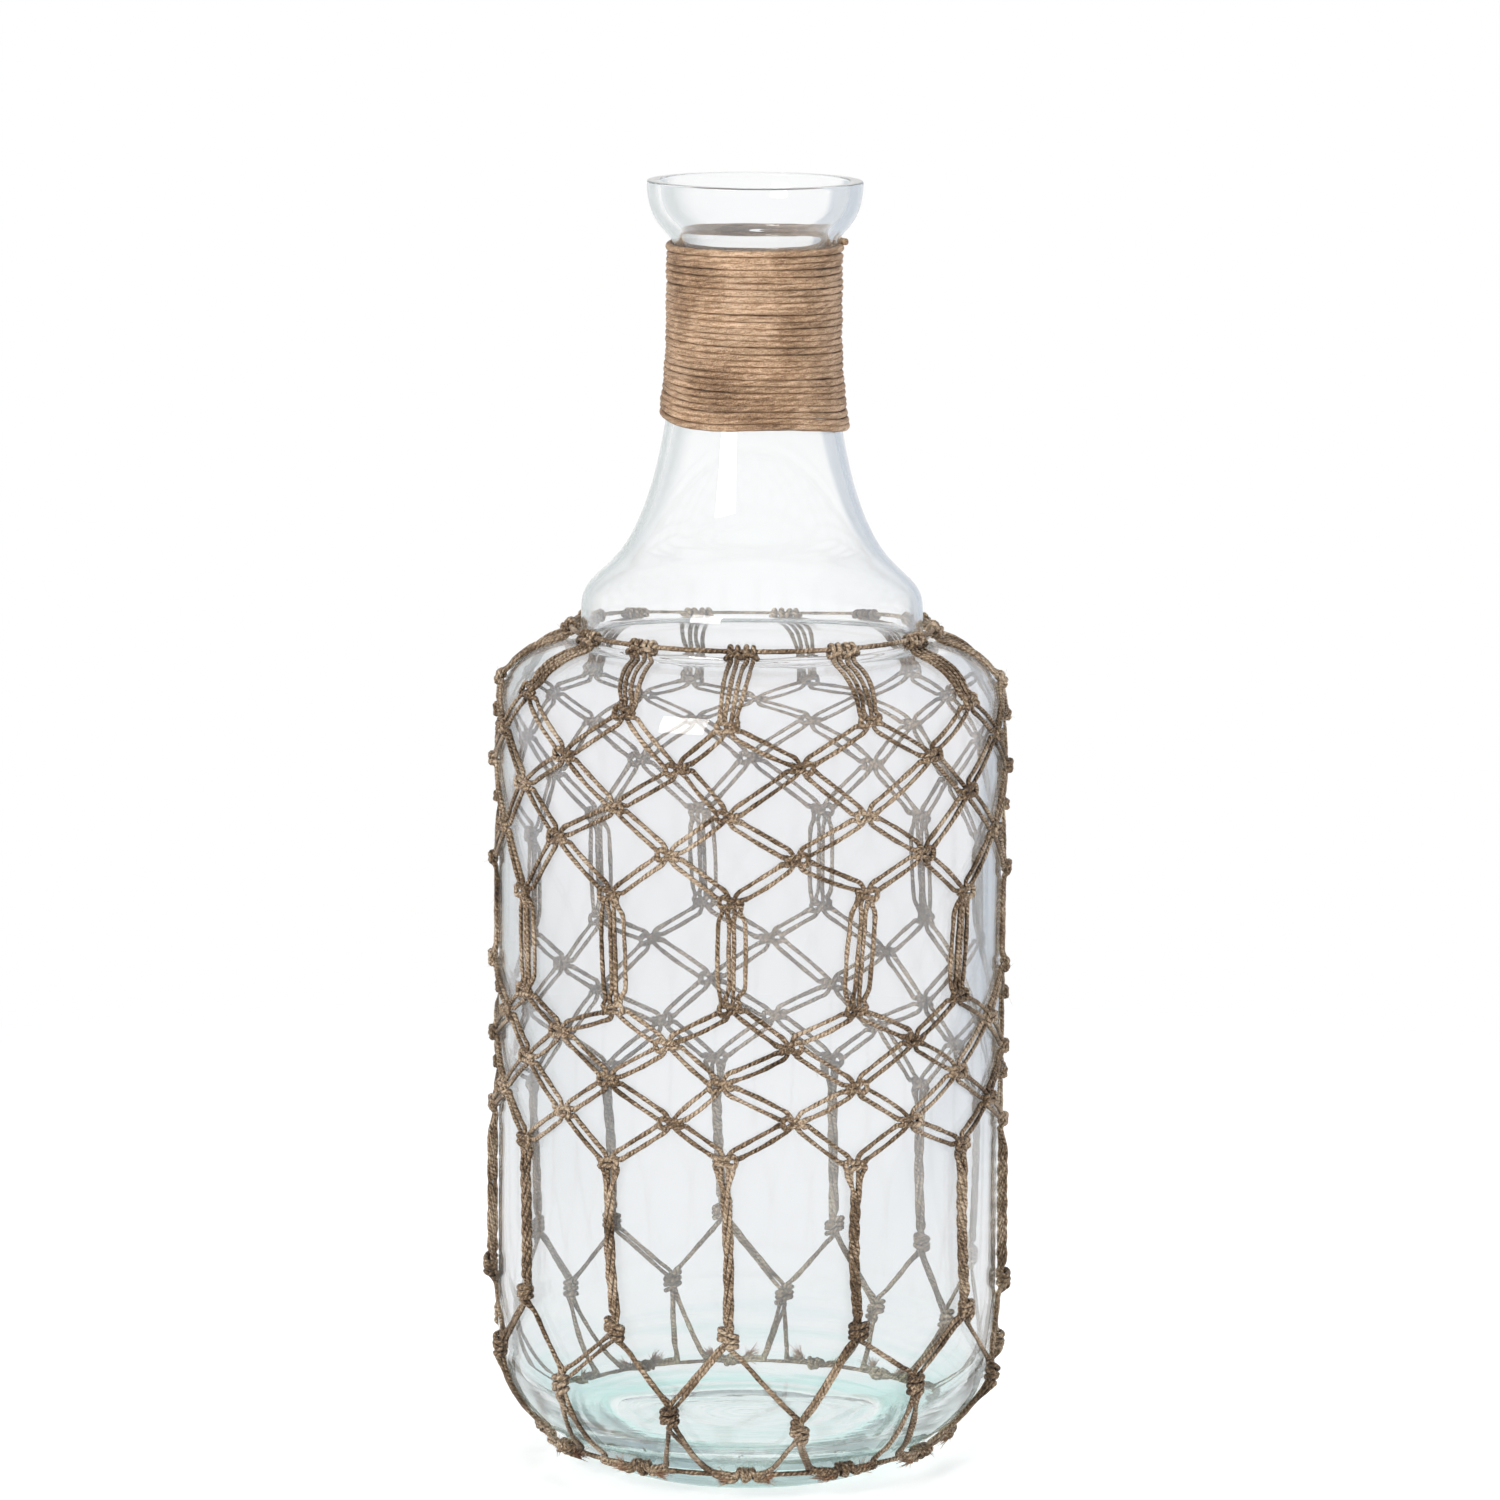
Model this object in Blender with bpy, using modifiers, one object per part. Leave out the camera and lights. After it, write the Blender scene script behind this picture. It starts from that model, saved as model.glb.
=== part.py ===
"""Bottle vase: a clear blown-glass bottle, a cord wound round its neck and a knotted cord net over its body.

Metres, +Z up. The origin is at the middle of the foot, on the surface that the vase stands on.
The front of the vase looks along -Y, and angles round it are degrees counted from the front towards +X.
"""
import math

import bpy
from mathutils import Vector

# Heights of the stretches of the glass, from the foot up
CORNER_HEIGHT = 0.046
SIDE_HEIGHT = 0.248
SHOULDER_HEIGHT = 0.0297
COLLAR_HEIGHT = 0.0113
SKIRT_HEIGHT = 0.0185
SWEEP_HEIGHT = 0.0915
NECK_HEIGHT = 0.029
CUP_HEIGHT = 0.026

# Outer radii of the glass, from the foot up, and its thickness
FOOT_RADIUS = 0.0575
BODY_RADIUS = 0.0975
COLLAR_RADIUS = 0.066
SKIRT_RADIUS = 0.054
NECK_RADIUS = 0.0312
RIM_RADIUS = 0.0415
WALL = 0.0042
FLOOR_THICKNESS = 0.012

# Handles of the glass outline's curves, as shares of the stretch that each one shapes
CUP_HANDLE_SHARE = 0.73
SWEEP_TOP_SHARE = 0.44
SWEEP_FOOT_WIDTH_SHARE = 0.39
SWEEP_FOOT_HEIGHT_SHARE = 0.153
SKIRT_TOP_WIDTH_SHARE = 0.58
SKIRT_TOP_HEIGHT_SHARE = 0.38
SKIRT_FOOT_SHARE = 0.49
SHOULDER_TOP_WIDTH_SHARE = 0.63
SHOULDER_TOP_HEIGHT_SHARE = 0.108
SHOULDER_FOOT_SHARE = 0.67
CORNER_TOP_SHARE = 0.435
CORNER_FOOT_WIDTH_SHARE = 0.49
CORNER_FOOT_HEIGHT_SHARE = 0.26
FLOOR_HANDLE_SHARE = 0.45

# Facets round the glass, and the straight steps that each of its curves is drawn with
GLASS_FACETS = 30
OUTSIDE_STEPS = {"cup": 5, "sweep": 6, "skirt": 3, "shoulder": 5}
INSIDE_STEPS = {"cup": 4, "sweep": 4, "skirt": 1, "shoulder": 3}
CORNER_STEPS = 5
FLOOR_CORNER_STEPS = 3
MERGE_DISTANCE = 0.00001

# Cord wound round the neck: its top edge stands a little above the neck's straight stretch
WINDING_HEIGHT = 0.070
WINDING_RISE = 0.0033
WINDING_TURN_GAP = 0.00045
WINDING_LOOPS = 24
WINDING_LOOP_POINTS = 15

# Cords of the net and the clear space between two of them that touch
CORD_RADIUS = 0.00095
RING_CORD_RADIUS = 0.0011
CORD_GAP = 0.0003

# Spread of the four strands that hang from one knot on the top ring, and the room under their folds
HITCH_SPREAD = 0.0004
HITCH_ROOM = 0.0009
RING_TILT = 0.0006
FOLD_STEPS = 4

# Knots: how far a strand runs straight through a loose and a tight one, and how far one may slip
KNOT_REACH = 0.0026
TIGHT_KNOT_REACH = 0.0008
KNOT_SLIP = 0.001

# Long bars: how far their outer strands bow out, and how far below and above its knots a bow starts
BAR_BOW = 0.0022
BAR_SHOULDER = 0.008

# Foot of the net: the ring round the glass foot and the tails that hang below it
BASE_RING_HEIGHT = 0.0115
TAIL_DROP = 0.0032

# Bends between two knots of the top and the base ring, in a leg above the last row and in one above its tie
TOP_RING_BEND_COUNT = 0
BASE_RING_BEND_COUNT = 2
LEG_BEND_COUNT = 1
TIE_BEND_COUNT = 2

# Room that straight segments need over the rounded glass
SHOULDER_ROW_LIFT = 0.0013
CORNER_RUN_LIFT = 0.0006
WIDEST_RUN_DEGREES = 16.0

# Rows of knots that differ: the top of the long bars, the top of the lower legs and the last row
BAR_TOP_ROW = 4
LEG_TOP_ROW = 9
LAST_ROW = 11

# Height of each row of knots, as a share of the way from the base ring up to the top ring
ROW_HEIGHT_SHARES = (0.924, 0.878, 0.826, 0.771, 0.714, 0.586, 0.542, 0.493, 0.4445, 0.3955, 0.193, 0.097)

# Whether the knots of a row sit on the columns (0) or halfway to the next column (1)
ROW_PHASES = (0, 1, 0, 1, 0, 0, 1, 0, 1, 0, 0, 1)

# Angle of each knot from the front, in degrees, for the top ring, the twelve rows and the base ring
RING_ANGLES = (-89, -62, -36, -3, 29, 62, 88, 112, 139, 169, 198, 222, 246)
ROW_ANGLES = (
    (-88, -61, -29, -5, 27, 58, 85, 112, 140, 167, 194, 220, 246),
    (-73, -45, -16, 11, 43, 71, 98, 128, 153, 179, 206, 233, 259),
    (-88, -60, -31, -5, 26, 56, 86, 112, 139, 166, 193, 220, 246),
    (-72, -47, -18, 10, 41, 71, 99, 126, 150, 180, 207, 233, 259),
    (-87, -60, -32, -4, 26, 55, 85, 111, 136, 163, 192, 219, 243),
    (-86, -59, -31, -4, 24, 53, 83, 109, 134, 163, 191, 218, 243),
    (-69, -46, -18, 9, 39, 68, 96, 121, 146, 175, 204, 230, 257),
    (-84, -58, -32, -6, 24, 53, 83, 109, 134, 160, 189, 218, 245),
    (-72, -45, -17, 10, 38, 68, 96, 122, 148, 174, 201, 230, 259),
    (-86, -59, -32, -5, 24, 55, 83, 109, 135, 160, 188, 216, 243),
    (-88, -58, -30, -4, 25, 57, 85, 111, 134, 159, 186, 214, 240),
    (-72, -45, -17, 12, 40, 73, 99, 123, 147, 171, 198, 227, 255),
)
BASE_ANGLES = (-89, -60, -30, 0, 28, 57, 86, 112, 136, 159, 185, 212, 241)

# How far each knot has slipped above its row, as shares of KNOT_SLIP
ROW_SLIP_SHARES = (
    (3, 4, 2, -1, 0, 2, 4, 2, 0, -4, -4, -1, 1),
    (3, -1, -2, -1, 0, 2, 3, 4, 2, 0, 2, 4, 3),
    (3, 1, -2, -3, -4, 0, 2, 4, 5, 4, 4, 5, 4),
    (-1, 1, -1, -2, -3, -1, 1, 3, 4, 4, 5, 4, 2),
    (0, -5, 0, 0, 2, -3, -2, 1, 4, 2, 2, 3, 0),
    (1, -3, -3, 0, -2, -2, 1, 2, 3, 3, 4, 1, 1),
    (0, -1, -1, -1, -2, -1, 0, 1, 1, 3, 4, -1, -1),
    (2, 1, -1, 0, -2, -2, -2, -1, -1, 1, 2, 1, 1),
    (0, -1, 0, 1, -2, -2, -1, 0, 1, 2, 1, 1, 0),
    (4, -1, -2, 2, -1, 0, 0, -2, -4, 1, 0, 0, 2),
    (3, 4, -2, -2, -1, -1, 0, -2, -5, -4, 1, 0, 5),
    (8, 3, -3, -8, 5, -2, 0, -3, -6, -4, 2, 5, 7),
)

# Where the hangers bend over the shoulder, as shares of the shoulder's curve
HANGER_BEND_SHARES = (0.12, 0.35, 0.58)

# Fineness of the sums: samples along the neck, halvings of a search and the step that finds a slope
NECK_SAMPLES = 20
HALVINGS = 40
SLOPE_STEP_SHARE = 0.001

# Degrees in one turn, and Blender's settings for a cord of four and of six sides
TURN = 360
FOUR_SIDES = 0
SIX_SIDES = 1

# Heights of the joins between the stretches of the glass
BODY_FOOT = CORNER_HEIGHT
BODY_TOP = BODY_FOOT + SIDE_HEIGHT
COLLAR_FOOT = BODY_TOP + SHOULDER_HEIGHT
COLLAR_TOP = COLLAR_FOOT + COLLAR_HEIGHT
SKIRT_TOP = COLLAR_TOP + SKIRT_HEIGHT
NECK_FOOT = SKIRT_TOP + SWEEP_HEIGHT
NECK_TOP = NECK_FOOT + NECK_HEIGHT
RIM_HEIGHT = NECK_TOP + CUP_HEIGHT

# Sizes of the winding that follow from its height: its loops take one cord more than their number
WINDING_PITCH = (WINDING_HEIGHT + WINDING_TURN_GAP) / (WINDING_LOOPS + 1)
WINDING_CORD_RADIUS = (WINDING_PITCH - WINDING_TURN_GAP) / 2

# Sideways places of the strands in a knot, a bar and a hitch
STRAND_SPACING = 2 * CORD_RADIUS + CORD_GAP
INNER_OFFSET = STRAND_SPACING / 2
OUTER_OFFSET = INNER_OFFSET + STRAND_SPACING
HITCH_SPACING = STRAND_SPACING + HITCH_SPREAD
HITCH_HALF_WIDTH = 2 * HITCH_SPACING

# The top ring stands off the collar by the strands' fold behind it
FOLD_RADIUS = RING_CORD_RADIUS + 2 * CORD_GAP + CORD_RADIUS
RING_HEIGHT = COLLAR_FOOT + FOLD_RADIUS + CORD_RADIUS + HITCH_ROOM
RING_RADIUS = COLLAR_RADIUS + CORD_GAP + CORD_RADIUS + FOLD_RADIUS

# Distances from the glass to a cord's middle, with room for the sag of its straight segments
COLUMNS = len(RING_ANGLES)
RUN_SAG = BODY_RADIUS * (1 - math.cos(math.radians(WIDEST_RUN_DEGREES / 2)))
KNOT_STANDOFF = CORD_RADIUS + CORD_GAP + RUN_SAG
BASE_RING_SAG = FOOT_RADIUS * (1 - math.cos(math.pi / COLUMNS / (BASE_RING_BEND_COUNT + 1)))
BASE_RING_STANDOFF = RING_CORD_RADIUS + CORD_GAP + BASE_RING_SAG
TIE_STANDOFF = BASE_RING_STANDOFF + FOLD_RADIUS


def clear_scene():
    for old in list(bpy.data.objects):
        bpy.data.objects.remove(old, do_unlink=True)


def make_collection(name):
    collection = bpy.data.collections.new(name)
    bpy.context.scene.collection.children.link(collection)
    return collection


def make_material(name, colour, roughness, transmission=0.0, alpha=1.0):
    material = bpy.data.materials.new(name)
    material.use_nodes = True
    shader = material.node_tree.nodes["Principled BSDF"]
    shader.inputs["Base Color"].default_value = (*colour, 1.0)
    shader.inputs["Roughness"].default_value = roughness
    shader.inputs["Metallic"].default_value = 0.0
    shader.inputs["Transmission Weight"].default_value = transmission
    shader.inputs["Alpha"].default_value = alpha
    material.diffuse_color = (*colour, alpha)
    return material


def bezier(start, first, second, end, share):
    """Point on a cubic curve, share 0 at its start and 1 at its end."""
    rest = 1 - share
    weights = (rest**3, 3 * rest**2 * share, 3 * rest * share**2, share**3)
    corners = (start, first, second, end)
    return tuple(sum(w * c[i] for w, c in zip(weights, corners)) for i in (0, 1))


def stretch(corners, steps):
    """Points along one curve of the outline, without its first point."""
    return [bezier(*corners, i / steps) for i in range(1, steps + 1)]


def cup_curve():
    handle = CUP_HEIGHT * CUP_HANDLE_SHARE
    return (
        (RIM_RADIUS, RIM_HEIGHT),
        (RIM_RADIUS, RIM_HEIGHT - handle),
        (NECK_RADIUS, RIM_HEIGHT - handle),
        (NECK_RADIUS, NECK_TOP),
    )


def sweep_curve():
    width = SKIRT_RADIUS - NECK_RADIUS
    return (
        (NECK_RADIUS, NECK_FOOT),
        (NECK_RADIUS, NECK_FOOT - SWEEP_HEIGHT * SWEEP_TOP_SHARE),
        (NECK_RADIUS + width * SWEEP_FOOT_WIDTH_SHARE, SKIRT_TOP + SWEEP_HEIGHT * SWEEP_FOOT_HEIGHT_SHARE),
        (SKIRT_RADIUS, SKIRT_TOP),
    )


def skirt_curve():
    width = COLLAR_RADIUS - SKIRT_RADIUS
    return (
        (SKIRT_RADIUS, SKIRT_TOP),
        (SKIRT_RADIUS + width * SKIRT_TOP_WIDTH_SHARE, SKIRT_TOP - SKIRT_HEIGHT * SKIRT_TOP_HEIGHT_SHARE),
        (COLLAR_RADIUS, COLLAR_TOP + SKIRT_HEIGHT * SKIRT_FOOT_SHARE),
        (COLLAR_RADIUS, COLLAR_TOP),
    )


def shoulder_curve():
    width = BODY_RADIUS - COLLAR_RADIUS
    drop = SHOULDER_HEIGHT * SHOULDER_TOP_HEIGHT_SHARE
    return (
        (COLLAR_RADIUS, COLLAR_FOOT),
        (COLLAR_RADIUS + width * SHOULDER_TOP_WIDTH_SHARE, COLLAR_FOOT - drop),
        (BODY_RADIUS, BODY_TOP + SHOULDER_HEIGHT * SHOULDER_FOOT_SHARE),
        (BODY_RADIUS, BODY_TOP),
    )


def corner_curve():
    width = BODY_RADIUS - FOOT_RADIUS
    return (
        (BODY_RADIUS, BODY_FOOT),
        (BODY_RADIUS, BODY_FOOT - CORNER_HEIGHT * CORNER_TOP_SHARE),
        (FOOT_RADIUS + width * CORNER_FOOT_WIDTH_SHARE, CORNER_HEIGHT * CORNER_FOOT_HEIGHT_SHARE),
        (FOOT_RADIUS, 0),
    )


def outer_outline(steps):
    """Outside of the glass from the rim down to where the corner begins."""
    points = [(RIM_RADIUS, RIM_HEIGHT)]
    points += stretch(cup_curve(), steps["cup"])
    points.append((NECK_RADIUS, NECK_FOOT))
    points += stretch(sweep_curve(), steps["sweep"])
    points += stretch(skirt_curve(), steps["skirt"])
    points.append((COLLAR_RADIUS, COLLAR_FOOT))
    points += stretch(shoulder_curve(), steps["shoulder"])
    points.append((BODY_RADIUS, BODY_FOOT))
    return points


def inward(points, distance):
    """The same outline, moved inwards by the thickness of the glass, with its top left level."""
    moved = []
    for i, (radius, height) in enumerate(points):
        before = points[max(i - 1, 0)]
        after = points[min(i + 1, len(points) - 1)]
        along = Vector((after[0] - before[0], after[1] - before[1])).normalized()
        moved.append((radius + along.y * distance, height - along.x * distance))
    moved[0] = (points[0][0] - distance, points[0][1])
    return moved


def glass_profile():
    """Closed section of the glass: up the inside from the floor, over the rim and down the outside."""
    inside = inward(outer_outline(INSIDE_STEPS), WALL)
    floor_edge = (FOOT_RADIUS - WALL, FLOOR_THICKNESS)
    wall_foot = inside[-1]
    rise = (wall_foot[1] - FLOOR_THICKNESS) * FLOOR_HANDLE_SHARE
    run = (wall_foot[0] - floor_edge[0]) * FLOOR_HANDLE_SHARE
    floor_corner = (
        wall_foot,
        (wall_foot[0], wall_foot[1] - rise),
        (floor_edge[0] + run, FLOOR_THICKNESS),
        floor_edge,
    )
    inside += stretch(floor_corner, FLOOR_CORNER_STEPS)
    outside = outer_outline(OUTSIDE_STEPS) + stretch(corner_curve(), CORNER_STEPS)
    return [(0, FLOOR_THICKNESS)] + inside[::-1] + outside + [(0, 0)]


def make_glass(collection):
    mesh = bpy.data.meshes.new("glass_bottle")
    profile = [(radius, 0, height) for radius, height in glass_profile()]
    mesh.from_pydata(profile, [(i, i + 1) for i in range(len(profile) - 1)], [])
    bottle = bpy.data.objects.new("glass_bottle", mesh)
    collection.objects.link(bottle)
    turn = bottle.modifiers.new("turn", "SCREW")
    turn.axis = "Z"
    turn.angle = math.tau
    turn.steps = GLASS_FACETS
    turn.render_steps = GLASS_FACETS
    turn.use_merge_vertices = True
    turn.merge_threshold = MERGE_DISTANCE
    turn.use_smooth_shade = True
    glass = make_material("clear_glass", (0.93, 0.97, 0.96), 0.02, transmission=1.0, alpha=0.35)
    mesh.materials.append(glass)
    return bottle


def share_at_height(curve, height):
    """How far down the shoulder's or the corner's curve a height lies."""
    low, high = 0.0, 1.0
    for _ in range(HALVINGS):
        middle = (low + high) / 2
        if bezier(*curve, middle)[1] > height:
            low = middle
        else:
            high = middle
    return low


def skin_at_share(curve, share):
    """Radius and outward normal at a share of the shoulder's or the corner's curve."""
    here = bezier(*curve, share)
    ahead = bezier(*curve, share + SLOPE_STEP_SHARE)
    along = Vector((ahead[0] - here[0], ahead[1] - here[1])).normalized()
    return here[0], Vector((-along.y, along.x))


def skin(height):
    """Radius of the glass at a height, and its outward normal in the plane of the section."""
    if height >= COLLAR_FOOT:
        return COLLAR_RADIUS, Vector((1, 0))
    if BODY_FOOT <= height <= BODY_TOP:
        return BODY_RADIUS, Vector((1, 0))
    curve = shoulder_curve() if height > BODY_TOP else corner_curve()
    return skin_at_share(curve, share_at_height(curve, height))


def around(angle, radius, height, lateral):
    """Point at an angle round the vase, moved sideways along the glass."""
    turn = math.radians(angle)
    return Vector((
        radius * math.sin(turn) + lateral * math.cos(turn),
        -radius * math.cos(turn) + lateral * math.sin(turn),
        height,
    ))


def on_glass(angle, height, lateral, standoff):
    """Point at a distance from the glass, beside the place at an angle and a height."""
    radius, normal = skin(height)
    return around(angle, radius + normal.x * standoff, height + normal.y * standoff, lateral)


def make_cord(name, points, radius, sides_setting, material, collection, closed=False):
    """Solid cord: a bevelled curve of straight segments with filled ends."""
    curve = bpy.data.curves.new(name, "CURVE")
    curve.dimensions = "3D"
    curve.bevel_depth = radius
    curve.bevel_resolution = sides_setting
    curve.use_fill_caps = True
    curve.resolution_u = 1
    spline = curve.splines.new("POLY")
    spline.points.add(len(points) - 1)
    for target, point in zip(spline.points, points):
        target.co = (*point, 1.0)
    spline.use_cyclic_u = closed
    spline.use_smooth = True
    curve.materials.append(material)
    cord = bpy.data.objects.new(name, curve)
    collection.objects.link(cord)
    return cord


def neck_reach(height):
    """Largest outer radius of the glass beside one turn of the winding."""
    outline = [bezier(*cup_curve(), i / NECK_SAMPLES) for i in range(NECK_SAMPLES + 1)]
    outline += [bezier(*sweep_curve(), i / NECK_SAMPLES) for i in range(NECK_SAMPLES + 1)]
    reach = NECK_RADIUS
    for level in (height - WINDING_CORD_RADIUS, height + WINDING_CORD_RADIUS):
        for upper, lower in zip(outline, outline[1:]):
            if lower[1] <= level < upper[1]:
                share = (level - lower[1]) / (upper[1] - lower[1])
                reach = max(reach, lower[0] + (upper[0] - lower[0]) * share)
    return reach


def winding_points():
    """The neck cord's route: an even helix that follows the neck, with a straight stretch at each end."""
    chord_lift = 1 / math.cos(math.pi / WINDING_LOOP_POINTS)
    top = NECK_TOP + WINDING_RISE - WINDING_CORD_RADIUS
    points = []
    for i in range(WINDING_LOOPS * WINDING_LOOP_POINTS + 1):
        turns = i / WINDING_LOOP_POINTS
        height = top - turns * WINDING_PITCH
        radius = (neck_reach(height) + CORD_GAP + WINDING_CORD_RADIUS) * chord_lift
        points.append(around(TURN / 2 + TURN * turns, radius, height, 0))
    straight = 2 * WINDING_CORD_RADIUS
    first = points[0] + (points[0] - points[1]).normalized() * straight
    last = points[-1] + (points[-1] - points[-2]).normalized() * straight
    return [first] + points + [last]


def least_self_gap(points):
    """Least clear space between one turn of the winding and the next, measured on its points."""
    least = WINDING_HEIGHT
    for i, point in enumerate(points):
        for other in points[i + WINDING_LOOP_POINTS // 2:]:
            least = min(least, (other - point).length - 2 * WINDING_CORD_RADIUS)
    return least


def ring_height(angle):
    """Height of the top ring, which hangs a little lower at the back than at the front."""
    return RING_HEIGHT + RING_TILT * (math.cos(math.radians(angle)) - 1) / 2


def ring_points(angles, radius, bend_count, place):
    """Points round a ring cord: one at each side of a column's knot, and its bends evenly between knots."""
    half = math.degrees(HITCH_HALF_WIDTH / radius)
    points = []
    for angle, after in zip(angles, angles[1:] + (angles[0] + TURN,)):
        points.append(place(angle - half))
        for i in range(bend_count + 1):
            points.append(place(angle + half + (after - angle - 2 * half) * i / (bend_count + 1)))
    return points


def top_ring_place(angle):
    return around(angle, RING_RADIUS, ring_height(angle), 0)


def base_ring_place(angle):
    return on_glass(angle, BASE_RING_HEIGHT, 0, BASE_RING_STANDOFF)


def row_place(row, column, hand):
    """Angle and height of the knot that a column's cord passes in a row, and the cord's side there."""
    halfway = ROW_PHASES[row] == 1
    index = column - 1 if halfway and hand < 0 else column
    turned = -TURN if index < 0 else 0
    index %= COLUMNS
    span = RING_HEIGHT - BASE_RING_HEIGHT
    height = BASE_RING_HEIGHT + span * ROW_HEIGHT_SHARES[row] + KNOT_SLIP * ROW_SLIP_SHARES[row][index]
    return ROW_ANGLES[row][index] + turned, height, (-hand if halfway else hand)


def knot_places(row, column, hand, outer_strand):
    """Where one strand passes a knot: past its side, or down through its middle."""
    angle, height, side = row_place(row, column, hand)
    halfway = ROW_PHASES[row] == 1
    standoff = KNOT_STANDOFF + (SHOULDER_ROW_LIFT if row == 0 else 0)
    if outer_strand != halfway:
        beside = (angle, height, side * OUTER_OFFSET, standoff)
        arriving = (angle, height + KNOT_REACH, side * OUTER_OFFSET, standoff)
        return [arriving, beside] if row == 0 else [beside]
    lateral = side * INNER_OFFSET
    above = (angle, height + KNOT_REACH, lateral, standoff)
    below = (angle, height - KNOT_REACH, lateral, standoff)
    tight_above = (angle, height + TIGHT_KNOT_REACH, lateral, standoff)
    tight_below = (angle, height - TIGHT_KNOT_REACH, lateral, standoff)
    if row in (BAR_TOP_ROW, LEG_TOP_ROW):
        return [above]
    if row == BAR_TOP_ROW + 1:
        return [below]
    if row == LEG_TOP_ROW + 1:
        return [tight_below]
    if row == LAST_ROW:
        return [tight_above, tight_below]
    return [above, below]


def bar_places(column, hand):
    """The outer strand's bow between the two knots at the ends of a bar."""
    places = []
    for row, drop in ((BAR_TOP_ROW, -BAR_SHOULDER), (BAR_TOP_ROW + 1, BAR_SHOULDER)):
        angle, height, side = row_place(row, column, hand)
        places.append((angle, height + drop, side * (OUTER_OFFSET + BAR_BOW), KNOT_STANDOFF))
    return places


def between(start, end, bend_count):
    """Places along a run between two places, which keep it clear of the rounded glass."""
    places = []
    for i in range(1, bend_count + 1):
        share = i / (bend_count + 1)
        angle, height, lateral, standoff = (a + (b - a) * share for a, b in zip(start, end))
        places.append((angle, height, lateral, standoff + CORNER_RUN_LIFT))
    return places


def strand_places(column, hand, outer_strand):
    """Angle, height, sideways offset and standoff of each place along a strand, from row one to its tail."""
    places = []
    for row in range(LAST_ROW + 1):
        here = knot_places(row, column, hand, outer_strand)
        if row == LAST_ROW:
            places += between(places[-1], here[0], LEG_BEND_COUNT)
        places += here
        if row == BAR_TOP_ROW and outer_strand:
            places += bar_places(column, hand)
    lateral = hand * (OUTER_OFFSET if outer_strand else INNER_OFFSET)
    angle = BASE_ANGLES[column]
    tie = (angle, BASE_RING_HEIGHT, lateral, TIE_STANDOFF)
    places += between(places[-1], tie, TIE_BEND_COUNT)
    places.append(tie)
    places.append((angle, BASE_RING_HEIGHT - TAIL_DROP, lateral, KNOT_STANDOFF + CORD_GAP))
    return places


def hanger_points(column, hand, outer_strand, first_knot):
    """Points of one strand over the shoulder, from below the ring to the first knot."""
    offset = hand * HITCH_SPACING * (2 if outer_strand else 1)
    start_angle = RING_ANGLES[column]
    knot_share = share_at_height(shoulder_curve(), first_knot[1])
    points = []
    if not outer_strand:
        behind = COLLAR_RADIUS + CORD_GAP + CORD_RADIUS + CORD_GAP
        points.append(around(start_angle, behind, ring_height(start_angle) - FOLD_RADIUS, offset))
    for share in HANGER_BEND_SHARES:
        radius, normal = skin_at_share(shoulder_curve(), share)
        radius += normal.x * KNOT_STANDOFF
        height = bezier(*shoulder_curve(), share)[1] + normal.y * KNOT_STANDOFF
        progress = share / knot_share
        angle = start_angle + (first_knot[0] - start_angle) * progress
        lateral = offset + (first_knot[2] - offset) * progress
        points.append(around(angle, radius, height, lateral))
    return points


def fold_points(column, hand):
    """The fold over the top ring: up its front, over it and down between it and the glass."""
    angle = RING_ANGLES[column]
    height = ring_height(angle)
    points = []
    for i in range(FOLD_STEPS + 1):
        roll = math.pi * i / FOLD_STEPS
        lateral = hand * HITCH_SPACING * (2 - i / FOLD_STEPS)
        radius = RING_RADIUS + FOLD_RADIUS * math.cos(roll)
        points.append(around(angle, radius, height + FOLD_RADIUS * math.sin(roll), lateral))
    return points


def net_cord_points(column, hand):
    """Whole route of one folded cord: up one strand, over the top ring and down the other."""
    strands = []
    for outer_strand in (True, False):
        places = strand_places(column, hand, outer_strand)
        hanger = hanger_points(column, hand, outer_strand, places[0])
        strands.append(hanger + [on_glass(*place) for place in places])
    outer, inner = strands
    return outer[::-1] + fold_points(column, hand) + inner


def make_neck_cord(collection):
    twine = make_material("neck_twine", (0.42, 0.27, 0.16), 0.85)
    winding = winding_points()
    print("least gap of the neck cord to itself:", round(least_self_gap(winding), 6), "m")
    make_cord("neck_cord", winding, WINDING_CORD_RADIUS, SIX_SIDES, twine, collection)


def make_net(collection):
    jute = make_material("net_jute", (0.30, 0.20, 0.12), 0.9)
    top_ring = ring_points(RING_ANGLES, RING_RADIUS, TOP_RING_BEND_COUNT, top_ring_place)
    make_cord("top_ring_cord", top_ring, RING_CORD_RADIUS, SIX_SIDES, jute, collection, closed=True)
    base_ring = ring_points(BASE_ANGLES, FOOT_RADIUS, BASE_RING_BEND_COUNT, base_ring_place)
    make_cord("bottom_ring_cord", base_ring, RING_CORD_RADIUS, SIX_SIDES, jute, collection, closed=True)
    for column in range(COLUMNS):
        for hand, side in ((-1, "left"), (1, "right")):
            name = "net_cord_%s_%02d" % (side, column + 1)
            make_cord(name, net_cord_points(column, hand), CORD_RADIUS, FOUR_SIDES, jute, collection)


clear_scene()
vase = make_collection("bottle_vase")
make_glass(vase)
make_neck_cord(vase)
make_net(vase)
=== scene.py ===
"""Looks of the bottle vase: fine blown glass, a jute twine wound round its neck and a net of knotted jute.

Metres, +Z up. The vase's front looks along -Y, and angles round it are degrees from the front towards +X.
"""
import random
from math import atan2, cos, degrees, dist, hypot, pi, radians, sin, sqrt, tau

import bpy
import numpy as np
from mathutils import Matrix, Vector


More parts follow.
